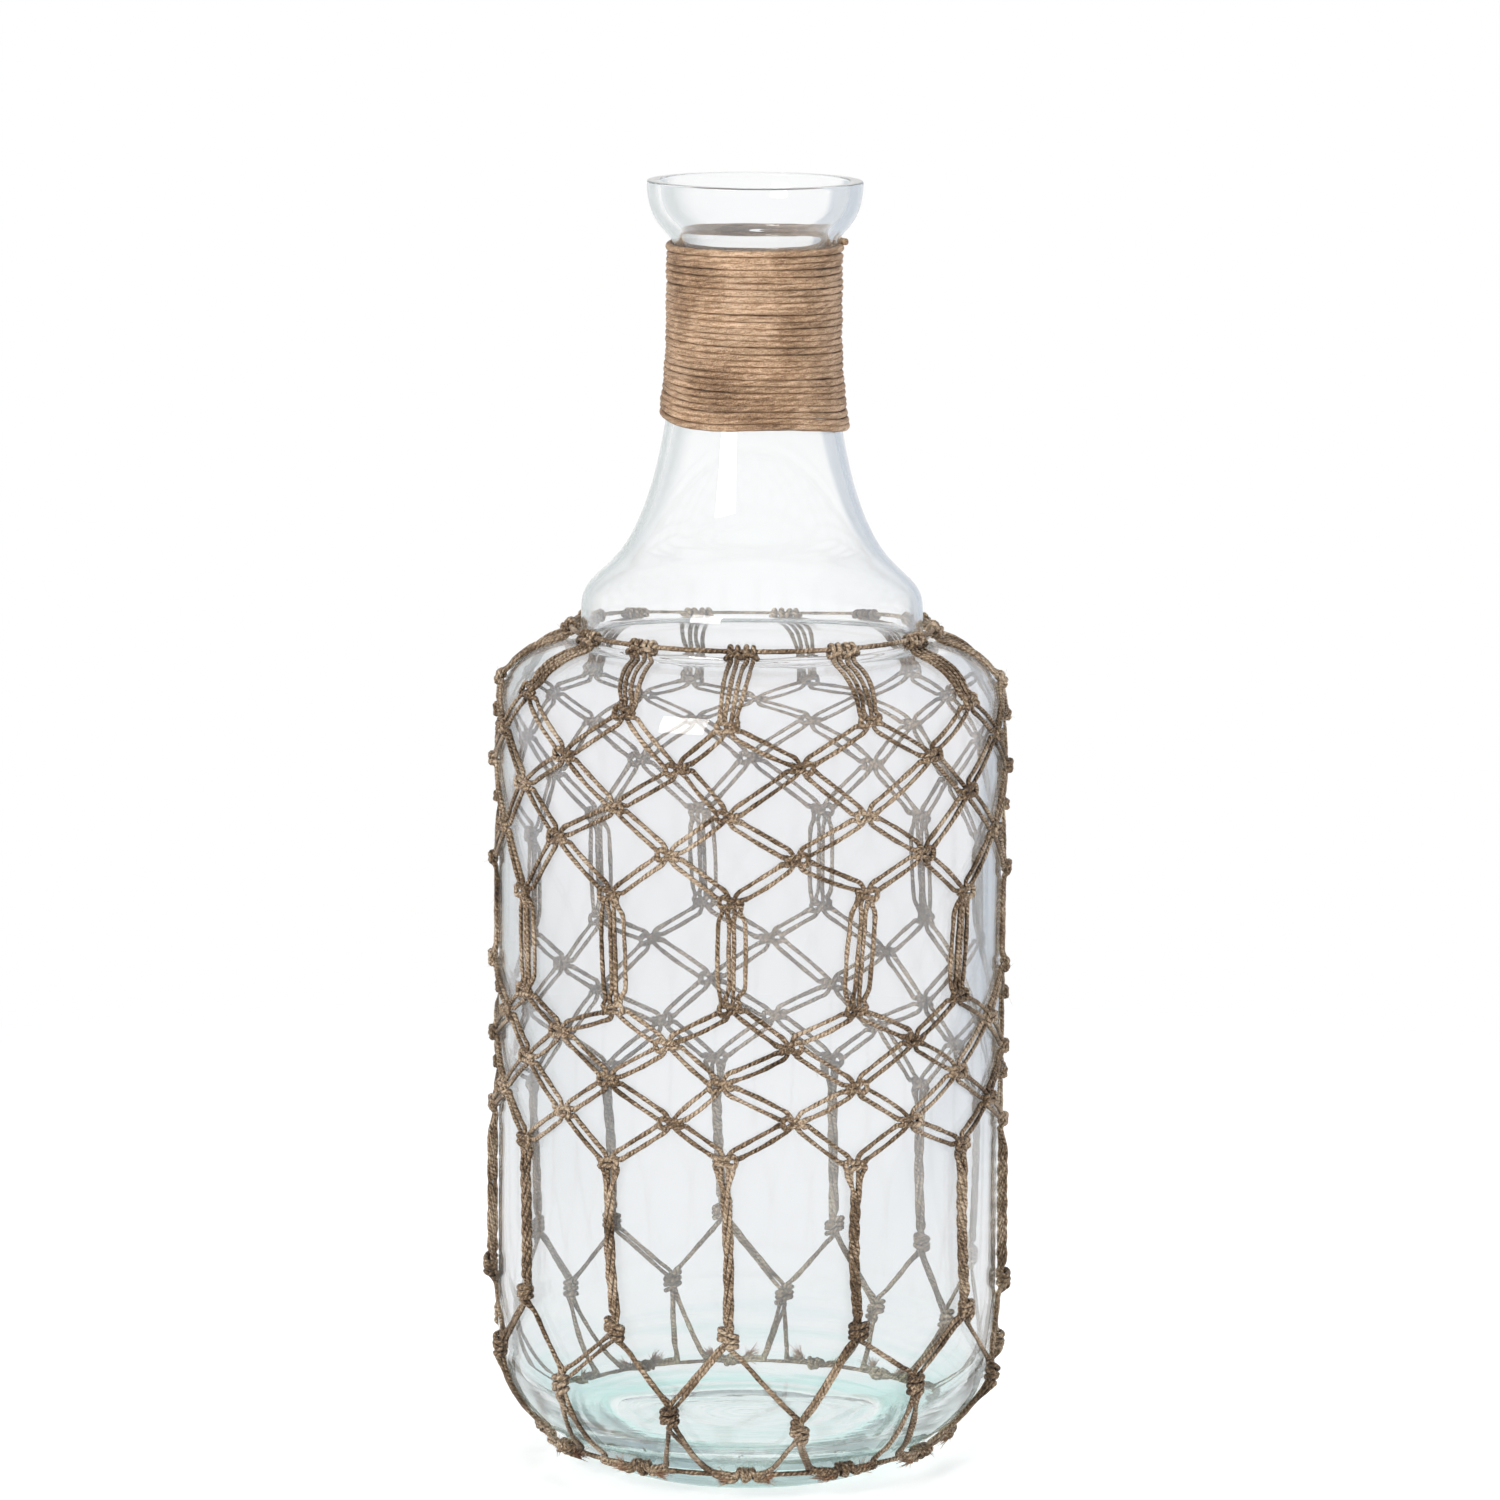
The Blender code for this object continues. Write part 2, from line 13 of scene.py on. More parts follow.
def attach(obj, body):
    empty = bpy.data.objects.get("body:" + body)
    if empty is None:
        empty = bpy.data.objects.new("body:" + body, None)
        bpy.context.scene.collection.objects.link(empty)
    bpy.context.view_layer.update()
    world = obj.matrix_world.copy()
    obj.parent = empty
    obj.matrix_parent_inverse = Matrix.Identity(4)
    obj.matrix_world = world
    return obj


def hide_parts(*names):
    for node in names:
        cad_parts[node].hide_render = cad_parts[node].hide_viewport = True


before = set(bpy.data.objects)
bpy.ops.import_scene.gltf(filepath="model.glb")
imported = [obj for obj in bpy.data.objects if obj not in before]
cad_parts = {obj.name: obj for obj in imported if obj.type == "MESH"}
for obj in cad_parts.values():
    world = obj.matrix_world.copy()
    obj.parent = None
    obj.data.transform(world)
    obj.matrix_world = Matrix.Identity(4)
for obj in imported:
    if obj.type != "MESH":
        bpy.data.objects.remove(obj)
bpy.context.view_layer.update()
SCENE = bpy.context.scene

# The photograph's camera: its place in metres, its tilt and roll in degrees
CAMERA_PLACE = (-0.0004, -2.60375, 0.70559)
CAMERA_TILT = 9.297
CAMERA_ROLL = 0.42

# Heights of the stretches of the glass, from the foot up
CORNER_HEIGHT = 0.046
SIDE_HEIGHT = 0.248
SHOULDER_HEIGHT = 0.0297
COLLAR_HEIGHT = 0.0113
SKIRT_HEIGHT = 0.0185
SWEEP_HEIGHT = 0.0915
NECK_HEIGHT = 0.029
CUP_HEIGHT = 0.026

# Outer radii of the glass, from the foot up
FOOT_RADIUS = 0.0575
BODY_RADIUS = 0.0975
COLLAR_RADIUS = 0.066
SKIRT_RADIUS = 0.054
NECK_RADIUS = 0.0312
RIM_RADIUS = 0.0415

# Thickness of the glass at heights from the foot up, and of its floor
WALL_HEIGHTS = (0.0, 0.046, 0.09, 0.3, 0.335, 0.36, 0.445, 0.5)
WALLS = (0.0042, 0.0034, 0.0026, 0.002, 0.0021, 0.0026, 0.0042, 0.0052)
SHOULDER_WALL = WALLS[3]
RIM_WALL = WALLS[-1]
FLOOR_WALL = WALLS[0]
FLOOR_THICKNESS = 0.012

# Roundings of the lip and the foot, the hollow under it, and the bends at the collar's foot
LIP_ROUNDING = 0.0009
LIP_STEPS = 6
FOOT_ROUNDING = 0.0012
FOOT_HOLLOW = 0.0016
INNER_COLLAR_BEND = 0.005
OUTER_COLLAR_BEND = 0.003
BEND_STEPS = 14

# Handles of the outline's curves, as shares of the way across and down each one
CUP_HANDLES = ((0.0, 0.73), (1.0, 0.73))
SWEEP_HANDLES = ((0.0, 0.44), (0.39, 0.847))
SKIRT_HANDLES = ((0.58, 0.38), (1.0, 0.51))
SHOULDER_HANDLES = ((0.63, 0.108), (1.0, 0.33))
CORNER_HANDLES = ((0.0, 0.435), (0.51, 0.74))
FLOOR_HANDLES = ((0.0, 0.45), (0.55, 1.0))

# Fineness of the glass and of the cords
GLASS_SEGMENTS = 192
CURVE_STEPS = 36
SIDE_STEPS = 12
NECK_STEPS = 60
CORD_STEP = 0.0009
RING_STEP = 6

# Yarns: a lay is one turn of the twist, creases and unevenness are shares of the radius
NET_YARN = {"radius": 0.00094, "lay": 0.015, "sides": 8, "plies": 2, "creases": 0.12, "unevenness": 0.13}
RING_YARN = {**NET_YARN, "radius": 0.00105}
TWINE_YARN = {"radius": 0.0014, "lay": 0.03, "sides": 12, "plies": 3, "creases": 0.05, "unevenness": 0.09}
CREASE_POWER = 0.8
TWIST_UNEVENNESS = 0.4
TWIST_PERIOD = 9
THICKNESS_PERIOD = 7

# How much a cord swells in its tight bends, and how curved those are, in 1/m
BEND_SWELL = 0.2
TIGHT_BEND = 450.0

# Cords pushed out of the glass: how near they may lie, and where they are pushed
NEARNESS = 0.97
LEAST_OUTWARD = 0.45
PUSHED_FOOT = 0.008
PUSHED_TOP_GAP = 0.001

# Neck twine: its reach, its turns, the angle of its start and how unevenly they lie
TWINE_TOP = 0.4775
TWINE_FOOT = 0.4068
TWINE_TURNS = 28
TWINE_START = 95
TURN_POINTS = 40
WANDER = 0.00019
WANDER_POINTS = 5
TILT_ABOVE = 0.0005
TILT_LOSS = 0.0018
FOOT_WAVE = 0.0011
FOOT_WAVE_PHASE = 0.52
FOOT_LEAN = 0.0006
TWINE_PRESS = 0.97
TWINE_WEAVE = 0.00016
TWINE_WEAVE_RATE = 5.1
NUB = ((0.0022, 0.0008), (0.001, 0.0002))

# Places of the net, repeated from the part: heights, angles and slips of its knots
RING_RADIUS = 0.0699
RING_HEIGHT = 0.3282
RING_TILT = 0.0006
BASE_RING_HEIGHT = 0.0115
RING_STANDOFF = 0.0026
KNOT_SLIP = 0.001
COLUMNS = 13
BAR_TOP_ROW = 4
LEG_TOP_ROW = 9
LAST_ROW = 11
ROW_HEIGHT_SHARES = (0.924, 0.878, 0.826, 0.771, 0.714, 0.586, 0.542, 0.493, 0.4445, 0.3955, 0.193, 0.097)
ROW_PHASES = (0, 1, 0, 1, 0, 0, 1, 0, 1, 0, 0, 1)
RING_ANGLES = (-89, -62, -36, -3, 29, 62, 88, 112, 139, 169, 198, 222, 246)
ROW_ANGLES = (
    (-88, -61, -29, -5, 27, 58, 85, 112, 140, 167, 194, 220, 246),
    (-73, -45, -16, 11, 43, 71, 98, 128, 153, 179, 206, 233, 259),
    (-88, -60, -31, -5, 26, 56, 86, 112, 139, 166, 193, 220, 246),
    (-72, -47, -18, 10, 41, 71, 99, 126, 150, 180, 207, 233, 259),
    (-87, -60, -32, -4, 26, 55, 85, 111, 136, 163, 192, 219, 243),
    (-86, -59, -31, -4, 24, 53, 83, 109, 134, 163, 191, 218, 243),
    (-69, -46, -18, 9, 39, 68, 96, 121, 146, 175, 204, 230, 257),
    (-84, -58, -32, -6, 24, 53, 83, 109, 134, 160, 189, 218, 245),
    (-72, -45, -17, 10, 38, 68, 96, 122, 148, 174, 201, 230, 259),
    (-86, -59, -32, -5, 24, 55, 83, 109, 135, 160, 188, 216, 243),
    (-88, -58, -30, -4, 25, 57, 85, 111, 134, 159, 186, 214, 240),
    (-72, -45, -17, 12, 40, 73, 99, 123, 147, 171, 198, 227, 255),
)
BASE_ANGLES = (-89, -60, -30, 0, 28, 57, 86, 112, 136, 159, 185, 212, 241)
ROW_SLIP_SHARES = (
    (3, 4, 2, -1, 0, 2, 4, 2, 0, -4, -4, -1, 1),
    (3, -1, -2, -1, 0, 2, 3, 4, 2, 0, 2, 4, 3),
    (3, 1, -2, -3, -4, 0, 2, 4, 5, 4, 4, 5, 4),
    (-1, 1, -1, -2, -3, -1, 1, 3, 4, 4, 5, 4, 2),
    (0, -5, 0, 0, 2, -3, -2, 1, 4, 2, 2, 3, 0),
    (1, -3, -3, 0, -2, -2, 1, 2, 3, 3, 4, 1, 1),
    (0, -1, -1, -1, -2, -1, 0, 1, 1, 3, 4, -1, -1),
    (2, 1, -1, 0, -2, -2, -2, -1, -1, 1, 2, 1, 1),
    (0, -1, 0, 1, -2, -2, -1, 0, 1, 2, 1, 1, 0),
    (4, -1, -2, 2, -1, 0, 0, -2, -4, 1, 0, 0, 2),
    (3, 4, -2, -2, -1, -1, 0, -2, -5, -4, 1, 0, 5),
    (8, 3, -3, -8, 5, -2, 0, -3, -6, -4, 2, 5, 7),
)

# The photograph's base ring lies higher than the part's straight segments can
BASE_RING_LIFT = 0.0023

# The knots' unit, a cord's diameter, and how far off the glass a lying strand's middle is
CORD = 0.0019
LYING = 0.53

# Upper half of a square knot, in cord diameters: sideways to the cord's own side, up, and out from the glass
FILLER = ((1.3, 1.75, 0.6), (0.48, 0.55, 1.12))
LEADER = (
    (2.55, 0.5, 0.65), (1.7, 0.8, 1.3), (0.7, 0.6, 1.8), (-0.7, 0.52, 1.85), (-1.65, 0.4, 1.5),
    (-2.05, 0.0, 1.15),
)
FOLLOWER = (
    (2.65, 0.6, 0.7), (1.95, 0.62, 1.85), (1.15, 0.12, 1.65), (0.75, 0.28, 0.75), (0.0, 0.46, 0.53),
    (-0.8, 0.75, 0.75), (-1.3, 1.0, 1.45), (-1.95, 0.8, 1.9), (-2.3, 0.0, 1.75),
)
KNOT_FLATNESS = 0.9

# Ends of strands that hang straight, and the rows of knots that hang from them or carry them
STEEP_FILLER = (0.75, 1.9, 0.7)
STEEP_WORKER = (1.7, 1.75, 0.8)
HUNG_ROWS = (0, BAR_TOP_ROW + 1)
CARRYING_ROWS = (BAR_TOP_ROW, LEG_TOP_ROW)

# Differences between knots: largest tilt in degrees, and ranges of their width and height
KNOT_TILT = 9
KNOT_WIDTHS = (0.92, 1.06)
KNOT_HEIGHTS = (1.02, 1.2)

# An overhand knot, in cord diameters: its turns and the strands that they wrap
WRAP_TURNS = 1.5
WRAP_POINTS = 10
WRAP_DEPTH = 1.05
WRAP_LIFT = 0.55
WRAP_SLANT = 0.45
WRAP_OVERLAP = 0.1
CORE_ENDS = (0.45, 0.4, 1.2)
CORE_MIDDLE = (0.4, 0.4, 1.5)
LEG_FOOT_KNOT = (1.4, 1.8)
LAST_KNOT = (1.6, 1.6)

# A leg's bundle of four strands: gaps to its knots, thickness, twist in radians, bow and drift
BUNDLE_TOP_GAP = 0.011
BUNDLE_FOOT_GAP = 0.0065
BUNDLE_RADIUS = 0.00128
BUNDLE_STANDOFF = 0.0023
BUNDLE_POINTS = 15
BUNDLE_TWIST = 8.5
BUNDLE_TWIST_CHANGE = 2.5
BUNDLE_BOW = 0.0011
BUNDLE_DRIFT = (0.16, 0.74)
BUNDLE_QUARTERS = {(-1, True): 0, (-1, False): 1, (1, False): 2, (1, True): 3}

# A long bar: its strands' reach sideways, how it varies, and the shares of its length with points
BAR_OUTER = 0.0051
BAR_INNER = 0.00092
BAR_WIDTHS = (0.9, 1.08)
BAR_END = 0.78
BAR_DRIFT = 0.00012
BAR_MARKS = (0.17, 0.34, 0.5, 0.66, 0.83)

# Runs between two knots: the shares of their length with points, and their bows
RUN_MARKS = (0.2, 0.5, 0.8)
UPPER_BOW = 0.0006
LOWER_BOW = 0.0007
LEG_BOW = 0.0003
RUN_OUTWARD = 0.5

# Strands over the shoulder: places sideways at the ring and the knot, least and greatest bow
OUTER_HANGER = (0.0039, 0.0031, 0.0007, 0.0017)
INNER_HANGER = (0.0015, 0.0012, -0.0003, 0.0007)
HANGER_MARKS = (0.22, 0.42, 0.62, 0.82)
HANGER_KNOT_GAP = 0.0028
HANGER_LIFT = 0.06

# Lark's heads: where each fold is, how its bar leans, and how far off the ring's middle they are
HEAD_SPACING = 0.003
HEAD_LEAN = 0.35
HEAD_WRAP = RING_YARN["radius"] + 0.00062
HEAD_BAR = HEAD_WRAP + 0.0014

# Half a lark's head, sideways in cord diameters, out and up: its turn over the ring in shares of
# HEAD_WRAP, then the bar across its front, whose way out is in shares of HEAD_BAR
HEAD_TURN = (
    (0.62, 1.0, -2.1), (0.62, 1.1, -0.3), (0.66, 0.8, 0.75), (0.7, 0.0, 1.06), (0.76, -0.8, 0.72),
    (0.9, -1.0, 0.0), (1.05, -0.7, -0.85), (1.3, 0.1, -1.45),
)
HEAD_CROSSING = ((1.42, 0.75, -1.3), (0.9, 1.0, -0.75), (0.3, 1.06, -0.5))

# A last leg: shares of its way round and down, and how it lifts off the glass as it drops
LAST_LEG_MARKS = ((0.2, 0.3), (0.45, 0.64), (0.72, 0.9))
LAST_LEG_LIFT = 0.3

# Where the legs meet the base ring, to the left and right of each tie
LANDINGS = {
    -1: (0.012, 0.013, 0.0175, 0.011, 0.01, 0.009, 0.013, 0.012, 0.014, 0.01, 0.012, 0.013, 0.011),
    1: (0.008, 0.005, 0.0065, 0.0055, 0.013, 0.006, 0.009, 0.008, 0.006, 0.01, 0.007, 0.009, 0.008),
}

# Ties on the base ring, for outer and inner strands: turns, height over the ring and standoff
OUTER_TIE = {"turns": 1.5, "above": 0.0019, "out": RING_STANDOFF + 0.0006, "layer": 0.0004}
INNER_TIE = {"turns": 1.25, "above": 0.0012, "out": RING_STANDOFF + 0.0017, "layer": 0.0}
TIE_LAYERS = {-1: 0.0017, 1: 0.0022}
TIE_DIP = 0.0006
TIE_APPROACH = 0.35
TIE_STARTS = (0.0032, 0.0046)
TIE_ENDS = (0.0008, 0.003)
TIE_POINTS = 9
TIE_PHASES = (0.5, 1.1)
TIE_CROWDING = 0.8
TIE_LEAST = 0.0009

# The tail past a tie: its reach, its rise, what it rises more at the back, and where that is
TAIL_REACHES = (0.0062, 0.0082)
TAIL_RISES = (-0.0016, 0.0024)
TAIL_BACK_RISE = 0.003
TAIL_BACK_ANGLES = (120, 245)
TAIL_MIDDLE = 0.3
TAIL_LIFT = 0.0002
TAIL_SINK = 0.0004

# Loose fibres: ranges of length and radius, and the shares of their length with points
FRAY = ((0.002, 0.0048), (0.00016, 0.00028), (0.0, 0.35, 0.7, 1.0))
HAIR = ((0.0008, 0.0026), (0.00004, 0.00007), (0.0, 0.33, 0.66, 1.0))
FIBRE_CURL = 0.0003

# Tufts at the cut ends: their fibres, points back to their direction, depth, spread and lean
FRAY_COUNT = 42
FRAY_BACK = 6
FRAY_DEPTH = 0.0014
FRAY_SPREAD = 0.00045
FRAY_LEAN = 0.34

# Stray fibres: how many on a cord, points free at its ends, taper, sides and texture
HAIR_COUNT = 45
HAIR_MARGIN = 40
HAIR_TAPER = 0.7
HAIR_SIDES = 3
HAIR_SIDEWAYS = (0.31, 0.22, 0.93)
HAIR_TEXTURE_STEP = 0.001
TINY = 1e-9

# Seeds of the knots' differences and of the cords' and fibres' unevenness
KNOT_SEED = 11
CORD_SEED = 23

WHITE = (1.0, 1.0, 1.0)

# Jute: colours from dark fibres to light, the painted shade in the creases between plies, and the sizes of
# its pattern in metres or per metre
NET_LOOK = {
    "tones": (
        (0.70, (0.018, 0.009, 0.004)), (0.83, (0.152, 0.094, 0.050)), (0.93, (0.36, 0.251, 0.160)),
        (1.0, (0.66, 0.52, 0.38)),
    ),
    "plies": 2.0, "crease_shade": 0.76, "patches": 60.0, "grain": 1300.0, "streak": 0.0032,
    "roughness": 0.82, "gloss": 0.25, "sheen": 0.18,
}
FRAY_LOOK = {
    **NET_LOOK,
    "tones": ((0.69, (0.11, 0.04, 0.016)), (0.84, (0.36, 0.165, 0.08)), (1.0, (0.72, 0.48, 0.31))),
    "plies": 1.0, "crease_shade": 1.0,
}
TWINE_LOOK = {
    "tones": (
        (0.66, (0.07, 0.034, 0.016)), (0.79, (0.245, 0.141, 0.076)), (0.91, (0.437, 0.28, 0.167)),
        (1.0, (0.645, 0.448, 0.303)),
    ),
    "plies": 3.0, "crease_shade": 0.96, "patches": 40.0, "grain": 2200.0, "streak": 0.02,
    "roughness": 0.6, "gloss": 0.4, "sheen": 0.04,
}
FIBRE_ACROSS = 2.6
FIBRES_ALONG = 320.0
PATCH_TWIST = 18.0
JUTE_RELIEF = (0.8, 0.0005)
# Painted shade between the winding's turns: its colour, and how often it breaks off
SEAM_SHADE_COLOUR = (0.14, 0.075, 0.038)
SEAM_SHADE_BREAKS = 260.0
TWINE_STRETCHES = 24.0

# Glass: tints by share of the vase's height, by how far a surface turns away, and in streaks
GLASS_TINTS = (
    (0.0, (0.5, 0.74, 0.66)), (0.006, (0.93, 0.96, 0.95)), (0.03, (0.92, 0.955, 0.95)),
    (0.06, (0.893, 0.925, 0.928)), (0.12, (0.893, 0.903, 0.911)), (0.60, (0.905, 0.905, 0.918)),
    (0.68, (0.978, 0.982, 0.985)), (0.92, (0.978, 0.982, 0.985)), (0.97, (0.965, 0.968, 0.972)),
)
FLOOR_TINT = (0.955, 0.977, 0.972)
EDGE_TINTS = ((0.6, WHITE), (0.86, (0.965, 0.97, 0.975)), (1.0, (0.87, 0.885, 0.9)))
GRAZED_TINTS = ((0.42, WHITE), (0.55, (0.55, 0.94, 0.895)), (1.0, (0.36, 0.87, 0.82)))
STREAK_TINTS = ((0.38, (0.78, 0.925, 0.905)), (0.52, WHITE))
CLEARNESSES = (
    (0.09, WHITE), (0.18, (0.964, 0.964, 0.964)), (0.64, (0.964, 0.964, 0.964)), (0.70, (0.98, 0.98, 0.98)),
)
GLASS_RELIEF = (0.3, 0.0004)
LEVEL_ONLY = (1.0, 1.0, 0.0)
DRAWN_SCALE = (12.0, 12.0, 0.0)
RINGS_SCALE = 160.0
RIPPLES = 1.1
SLOW_WAVES = 0.08

# Studio: grey panels behind the vase from left to right, and the sky upwards, as the glass sees them
PANEL_TONES = (
    (0.15, WHITE), (0.25, (0.68, 0.72, 0.72)), (0.39, (0.68, 0.72, 0.72)), (0.45, WHITE),
    (0.572, WHITE), (0.59, (0.62, 0.67, 0.73)), (0.88, (0.62, 0.67, 0.73)), (0.96, WHITE),
)
SKY_TONES = (
    (0.0, WHITE), (0.22, WHITE), (0.5, (0.84, 0.86, 0.88)), (0.9, (0.88, 0.9, 0.92)),
)
FLOOR_HALF = 9.0
FLOOR_GLOW = 0.32
FLOOR_FADE = (0.3, 0.9)
FLOOR_IN_GLASS = 0.82
GLASS_BOUNCES = 64

# Lamps: place, height aimed at, width and height, watts, colour, and whether the glass mirrors them
LAMPS = {
    "key": ((-1.26, -2.05, 1.18), 0.3, (0.92, 1.05), 42, (1.0, 0.985, 0.96), True),
    "fill": ((1.9, -1.5, 1.0), 0.25, (1.0, 1.6), 17, (0.96, 0.98, 1.0), False),
    "back": ((0.6, 1.9, 1.9), 0.25, (1.8, 1.0), 26, WHITE, False),
}

# Heights of the joins between the stretches of the glass
BODY_TOP = CORNER_HEIGHT + SIDE_HEIGHT
COLLAR_FOOT = BODY_TOP + SHOULDER_HEIGHT
COLLAR_TOP = COLLAR_FOOT + COLLAR_HEIGHT
SKIRT_TOP = COLLAR_TOP + SKIRT_HEIGHT
NECK_FOOT = SKIRT_TOP + SWEEP_HEIGHT
NECK_TOP = NECK_FOOT + NECK_HEIGHT
RIM_HEIGHT = NECK_TOP + CUP_HEIGHT


def curve(top, foot, handles):
    """Four corners of one curve of the outline, from its top down."""
    across, down = foot[0] - top[0], foot[1] - top[1]
    return top, *((top[0] + x * across, top[1] + y * down) for x, y in handles), foot


CUP_CURVE = curve((RIM_RADIUS, RIM_HEIGHT), (NECK_RADIUS, NECK_TOP), CUP_HANDLES)
SWEEP_CURVE = curve((NECK_RADIUS, NECK_FOOT), (SKIRT_RADIUS, SKIRT_TOP), SWEEP_HANDLES)
SKIRT_CURVE = curve((SKIRT_RADIUS, SKIRT_TOP), (COLLAR_RADIUS, COLLAR_TOP), SKIRT_HANDLES)
SHOULDER_CURVE = curve((COLLAR_RADIUS, COLLAR_FOOT), (BODY_RADIUS, BODY_TOP), SHOULDER_HANDLES)
CORNER_CURVE = curve((BODY_RADIUS, CORNER_HEIGHT), (FOOT_RADIUS, 0.0), CORNER_HANDLES)


def bezier(start, first, second, end, share):
    """Point at a share of a cubic curve."""
    rest = 1 - share
    weights = (rest**3, 3 * rest**2 * share, 3 * rest * share**2, share**3)
    corners = (start, first, second, end)
    return tuple(sum(w * c[i] for w, c in zip(weights, corners)) for i in (0, 1))


def stretch(corners, steps):
    """Points along one curve of the outline, without its first point."""
    return [bezier(*corners, i / steps) for i in range(1, steps + 1)]


def outline(points, parts, fineness=1):
    """Goes on from points along curves, given by corners, and straight lines, given by their ends."""
    for part in parts:
        if len(part) == 4:
            points += stretch(part, CURVE_STEPS * fineness)
        else:
            start, steps = points[-1], SIDE_STEPS * fineness
            for i in range(1, steps + 1):
                points.append(tuple(a + (b - a) * i / steps for a, b in zip(start, part)))
    return points


def distances(points):
    """Distance along a line to each of its points."""
    return np.concatenate([[0], np.cumsum(np.linalg.norm(np.diff(points, axis=0), axis=1))])


def net_meridian():
    """The line that the net lies on: distance along it, radius, height and outward normal."""
    parts = (SHOULDER_CURVE, (BODY_RADIUS, CORNER_HEIGHT), CORNER_CURVE)
    line = np.array(outline([(COLLAR_RADIUS, COLLAR_FOOT)], parts, fineness=4))
    along = np.gradient(line, axis=0)
    along /= np.linalg.norm(along, axis=1)[:, None]
    return distances(line), line[:, 0], line[:, 1], -along[:, 1], along[:, 0]


RUN, SKIN_RADIUS, SKIN_HEIGHT, NORMAL_OUT, NORMAL_UP = net_meridian()


def run_at(height):
    """How far down the meridian a height of the glass is."""
    return float(np.interp(-height, -SKIN_HEIGHT, RUN))


BASE_RUN = run_at(BASE_RING_HEIGHT + BASE_RING_LIFT)


def around(turn, reach, height):
    """Point at an angle in radians, a distance from the vase's axis and a height."""
    return (reach * sin(turn), -reach * cos(turn), height)


def on_glass(angle, run, lateral, standoff):
    """Point at degrees round the glass and a way down it, then sideways and outwards."""
    lines = (SKIN_RADIUS, SKIN_HEIGHT, NORMAL_OUT, NORMAL_UP)
    radius, height, out, up = (np.interp(run, RUN, line) for line in lines)
    reach = radius + out * standoff
    return around(radians(angle) + lateral / reach, reach, height + up * standoff)


def catmull_rom(points, closed=False, steps=8):
    """Dense smooth curve through points."""
    p = np.asarray(points, float)
    if closed:
        p = np.vstack([p[-1:], p, p[:2]])
    else:
        p = np.vstack([2 * p[:1] - p[1:2], p, 2 * p[-1:] - p[-2:-1]])
    gaps = np.maximum(np.sqrt(np.linalg.norm(np.diff(p, axis=0), axis=1)), 1e-4)[:, None]
    t01, t12, t23 = gaps[:-2], gaps[1:-1], gaps[2:]
    p0, p1, p2, p3 = p[:-3], p[1:-2], p[2:-1], p[3:]
    m1 = (p2 - p1) + t12 * ((p1 - p0) / t01 - (p2 - p0) / (t01 + t12))
    m2 = (p2 - p1) + t12 * ((p3 - p2) / t23 - (p3 - p1) / (t12 + t23))
    t = (np.arange(steps) / steps)[None, :, None]
    p1, p2, m1, m2 = (a[:, None, :] for a in (p1, p2, m1, m2))
    dense = (2 * t**3 - 3 * t**2 + 1) * p1 + (t**3 - 2 * t**2 + t) * m1
    dense += (3 * t**2 - 2 * t**3) * p2 + (t**3 - t**2) * m2
    return np.vstack([dense.reshape(-1, 3), p[-2:-1]])


def resample(points, spacing):
    """Evenly spaced points along a dense line, and its length."""
    run = distances(points)
    marks = np.linspace(0, run[-1], max(int(run[-1] / spacing), 3) + 1)
    return np.stack([np.interp(marks, run, points[:, i]) for i in range(3)], 1), run[-1]


def off_the_glass(points, radius):
    """The same line, pushed out where it would enter the glass."""
    height = points[:, 2]
    reach = np.hypot(points[:, 0], points[:, 1])
    skin = np.interp(-height, -SKIN_HEIGHT, SKIN_RADIUS)
    out = np.maximum(np.interp(-height, -SKIN_HEIGHT, NORMAL_OUT), LEAST_OUTWARD)
    least = skin + NEARNESS * radius / out
    beside = (height < COLLAR_FOOT - PUSHED_TOP_GAP) & (height > PUSHED_FOOT)
    factor = np.where(beside & (reach < least), least / reach, 1.0)
    return points * np.stack([factor, factor, np.ones_like(factor)], 1)


def carried_frames(points, closed):
    """Tangents, normals and binormals along a line, without needless turning."""
    if closed:
        tangents = np.roll(points, -1, axis=0) - np.roll(points, 1, axis=0)
    else:
        tangents = np.gradient(points, axis=0)
    tangents /= np.linalg.norm(tangents, axis=1)[:, None]
    upright = abs(tangents[0][2]) >= 0.8
    normal = np.array([1.0, 0.0, 0.0]) if upright else np.array([0.0, 0.0, 1.0])
    normals = np.empty_like(points)
    for i, tangent in enumerate(tangents):
        normal = normal - tangent * normal.dot(tangent)
        normal = normal / sqrt(normal.dot(normal))
        normals[i] = normal
    return tangents, normals, np.cross(tangents, normals)


def uneven(count, rng, period, amount):
    """Shares near one that rise and fall slowly along a cord."""
    marks = np.arange(0, count + 2 * period, period)
    values = np.array([rng.uniform(-1, 1) for _ in marks])
    return 1 + amount * np.interp(np.arange(count), marks, values)


def cord_mesh(name, verts, faces, uvs):
    """Smooth mesh with its turn round and its length in the UV map cord."""
    mesh = bpy.data.meshes.new(name)
    mesh.from_pydata(np.asarray(verts).tolist(), [], faces)
    layer = mesh.uv_layers.new(name="cord")
    layer.data.foreach_set("uv", np.asarray(uvs, dtype=np.float32).ravel())
    mesh.shade_smooth()
    mesh.update()
    return mesh


def sleeve(rows, rings, sides, spacing, first=0, start=0.0):
    """Faces and UVs of a tube of rings of vertices."""
    i, j = np.meshgrid(np.arange(rows), np.arange(sides), indexing="ij")
    after = (i + 1) % rings
    beside = (j + 1) % sides
    quads = np.stack([i * sides + j, i * sides + beside, after * sides + beside, after * sides + j], -1)
    u = np.stack([j, j + 1, j + 1, j], -1) / sides
    v = np.stack([i, i, i + 1, i + 1], -1) * spacing + start
    return (quads + first).reshape(-1, 4).tolist(), np.stack([u, v], -1).reshape(-1, 2)


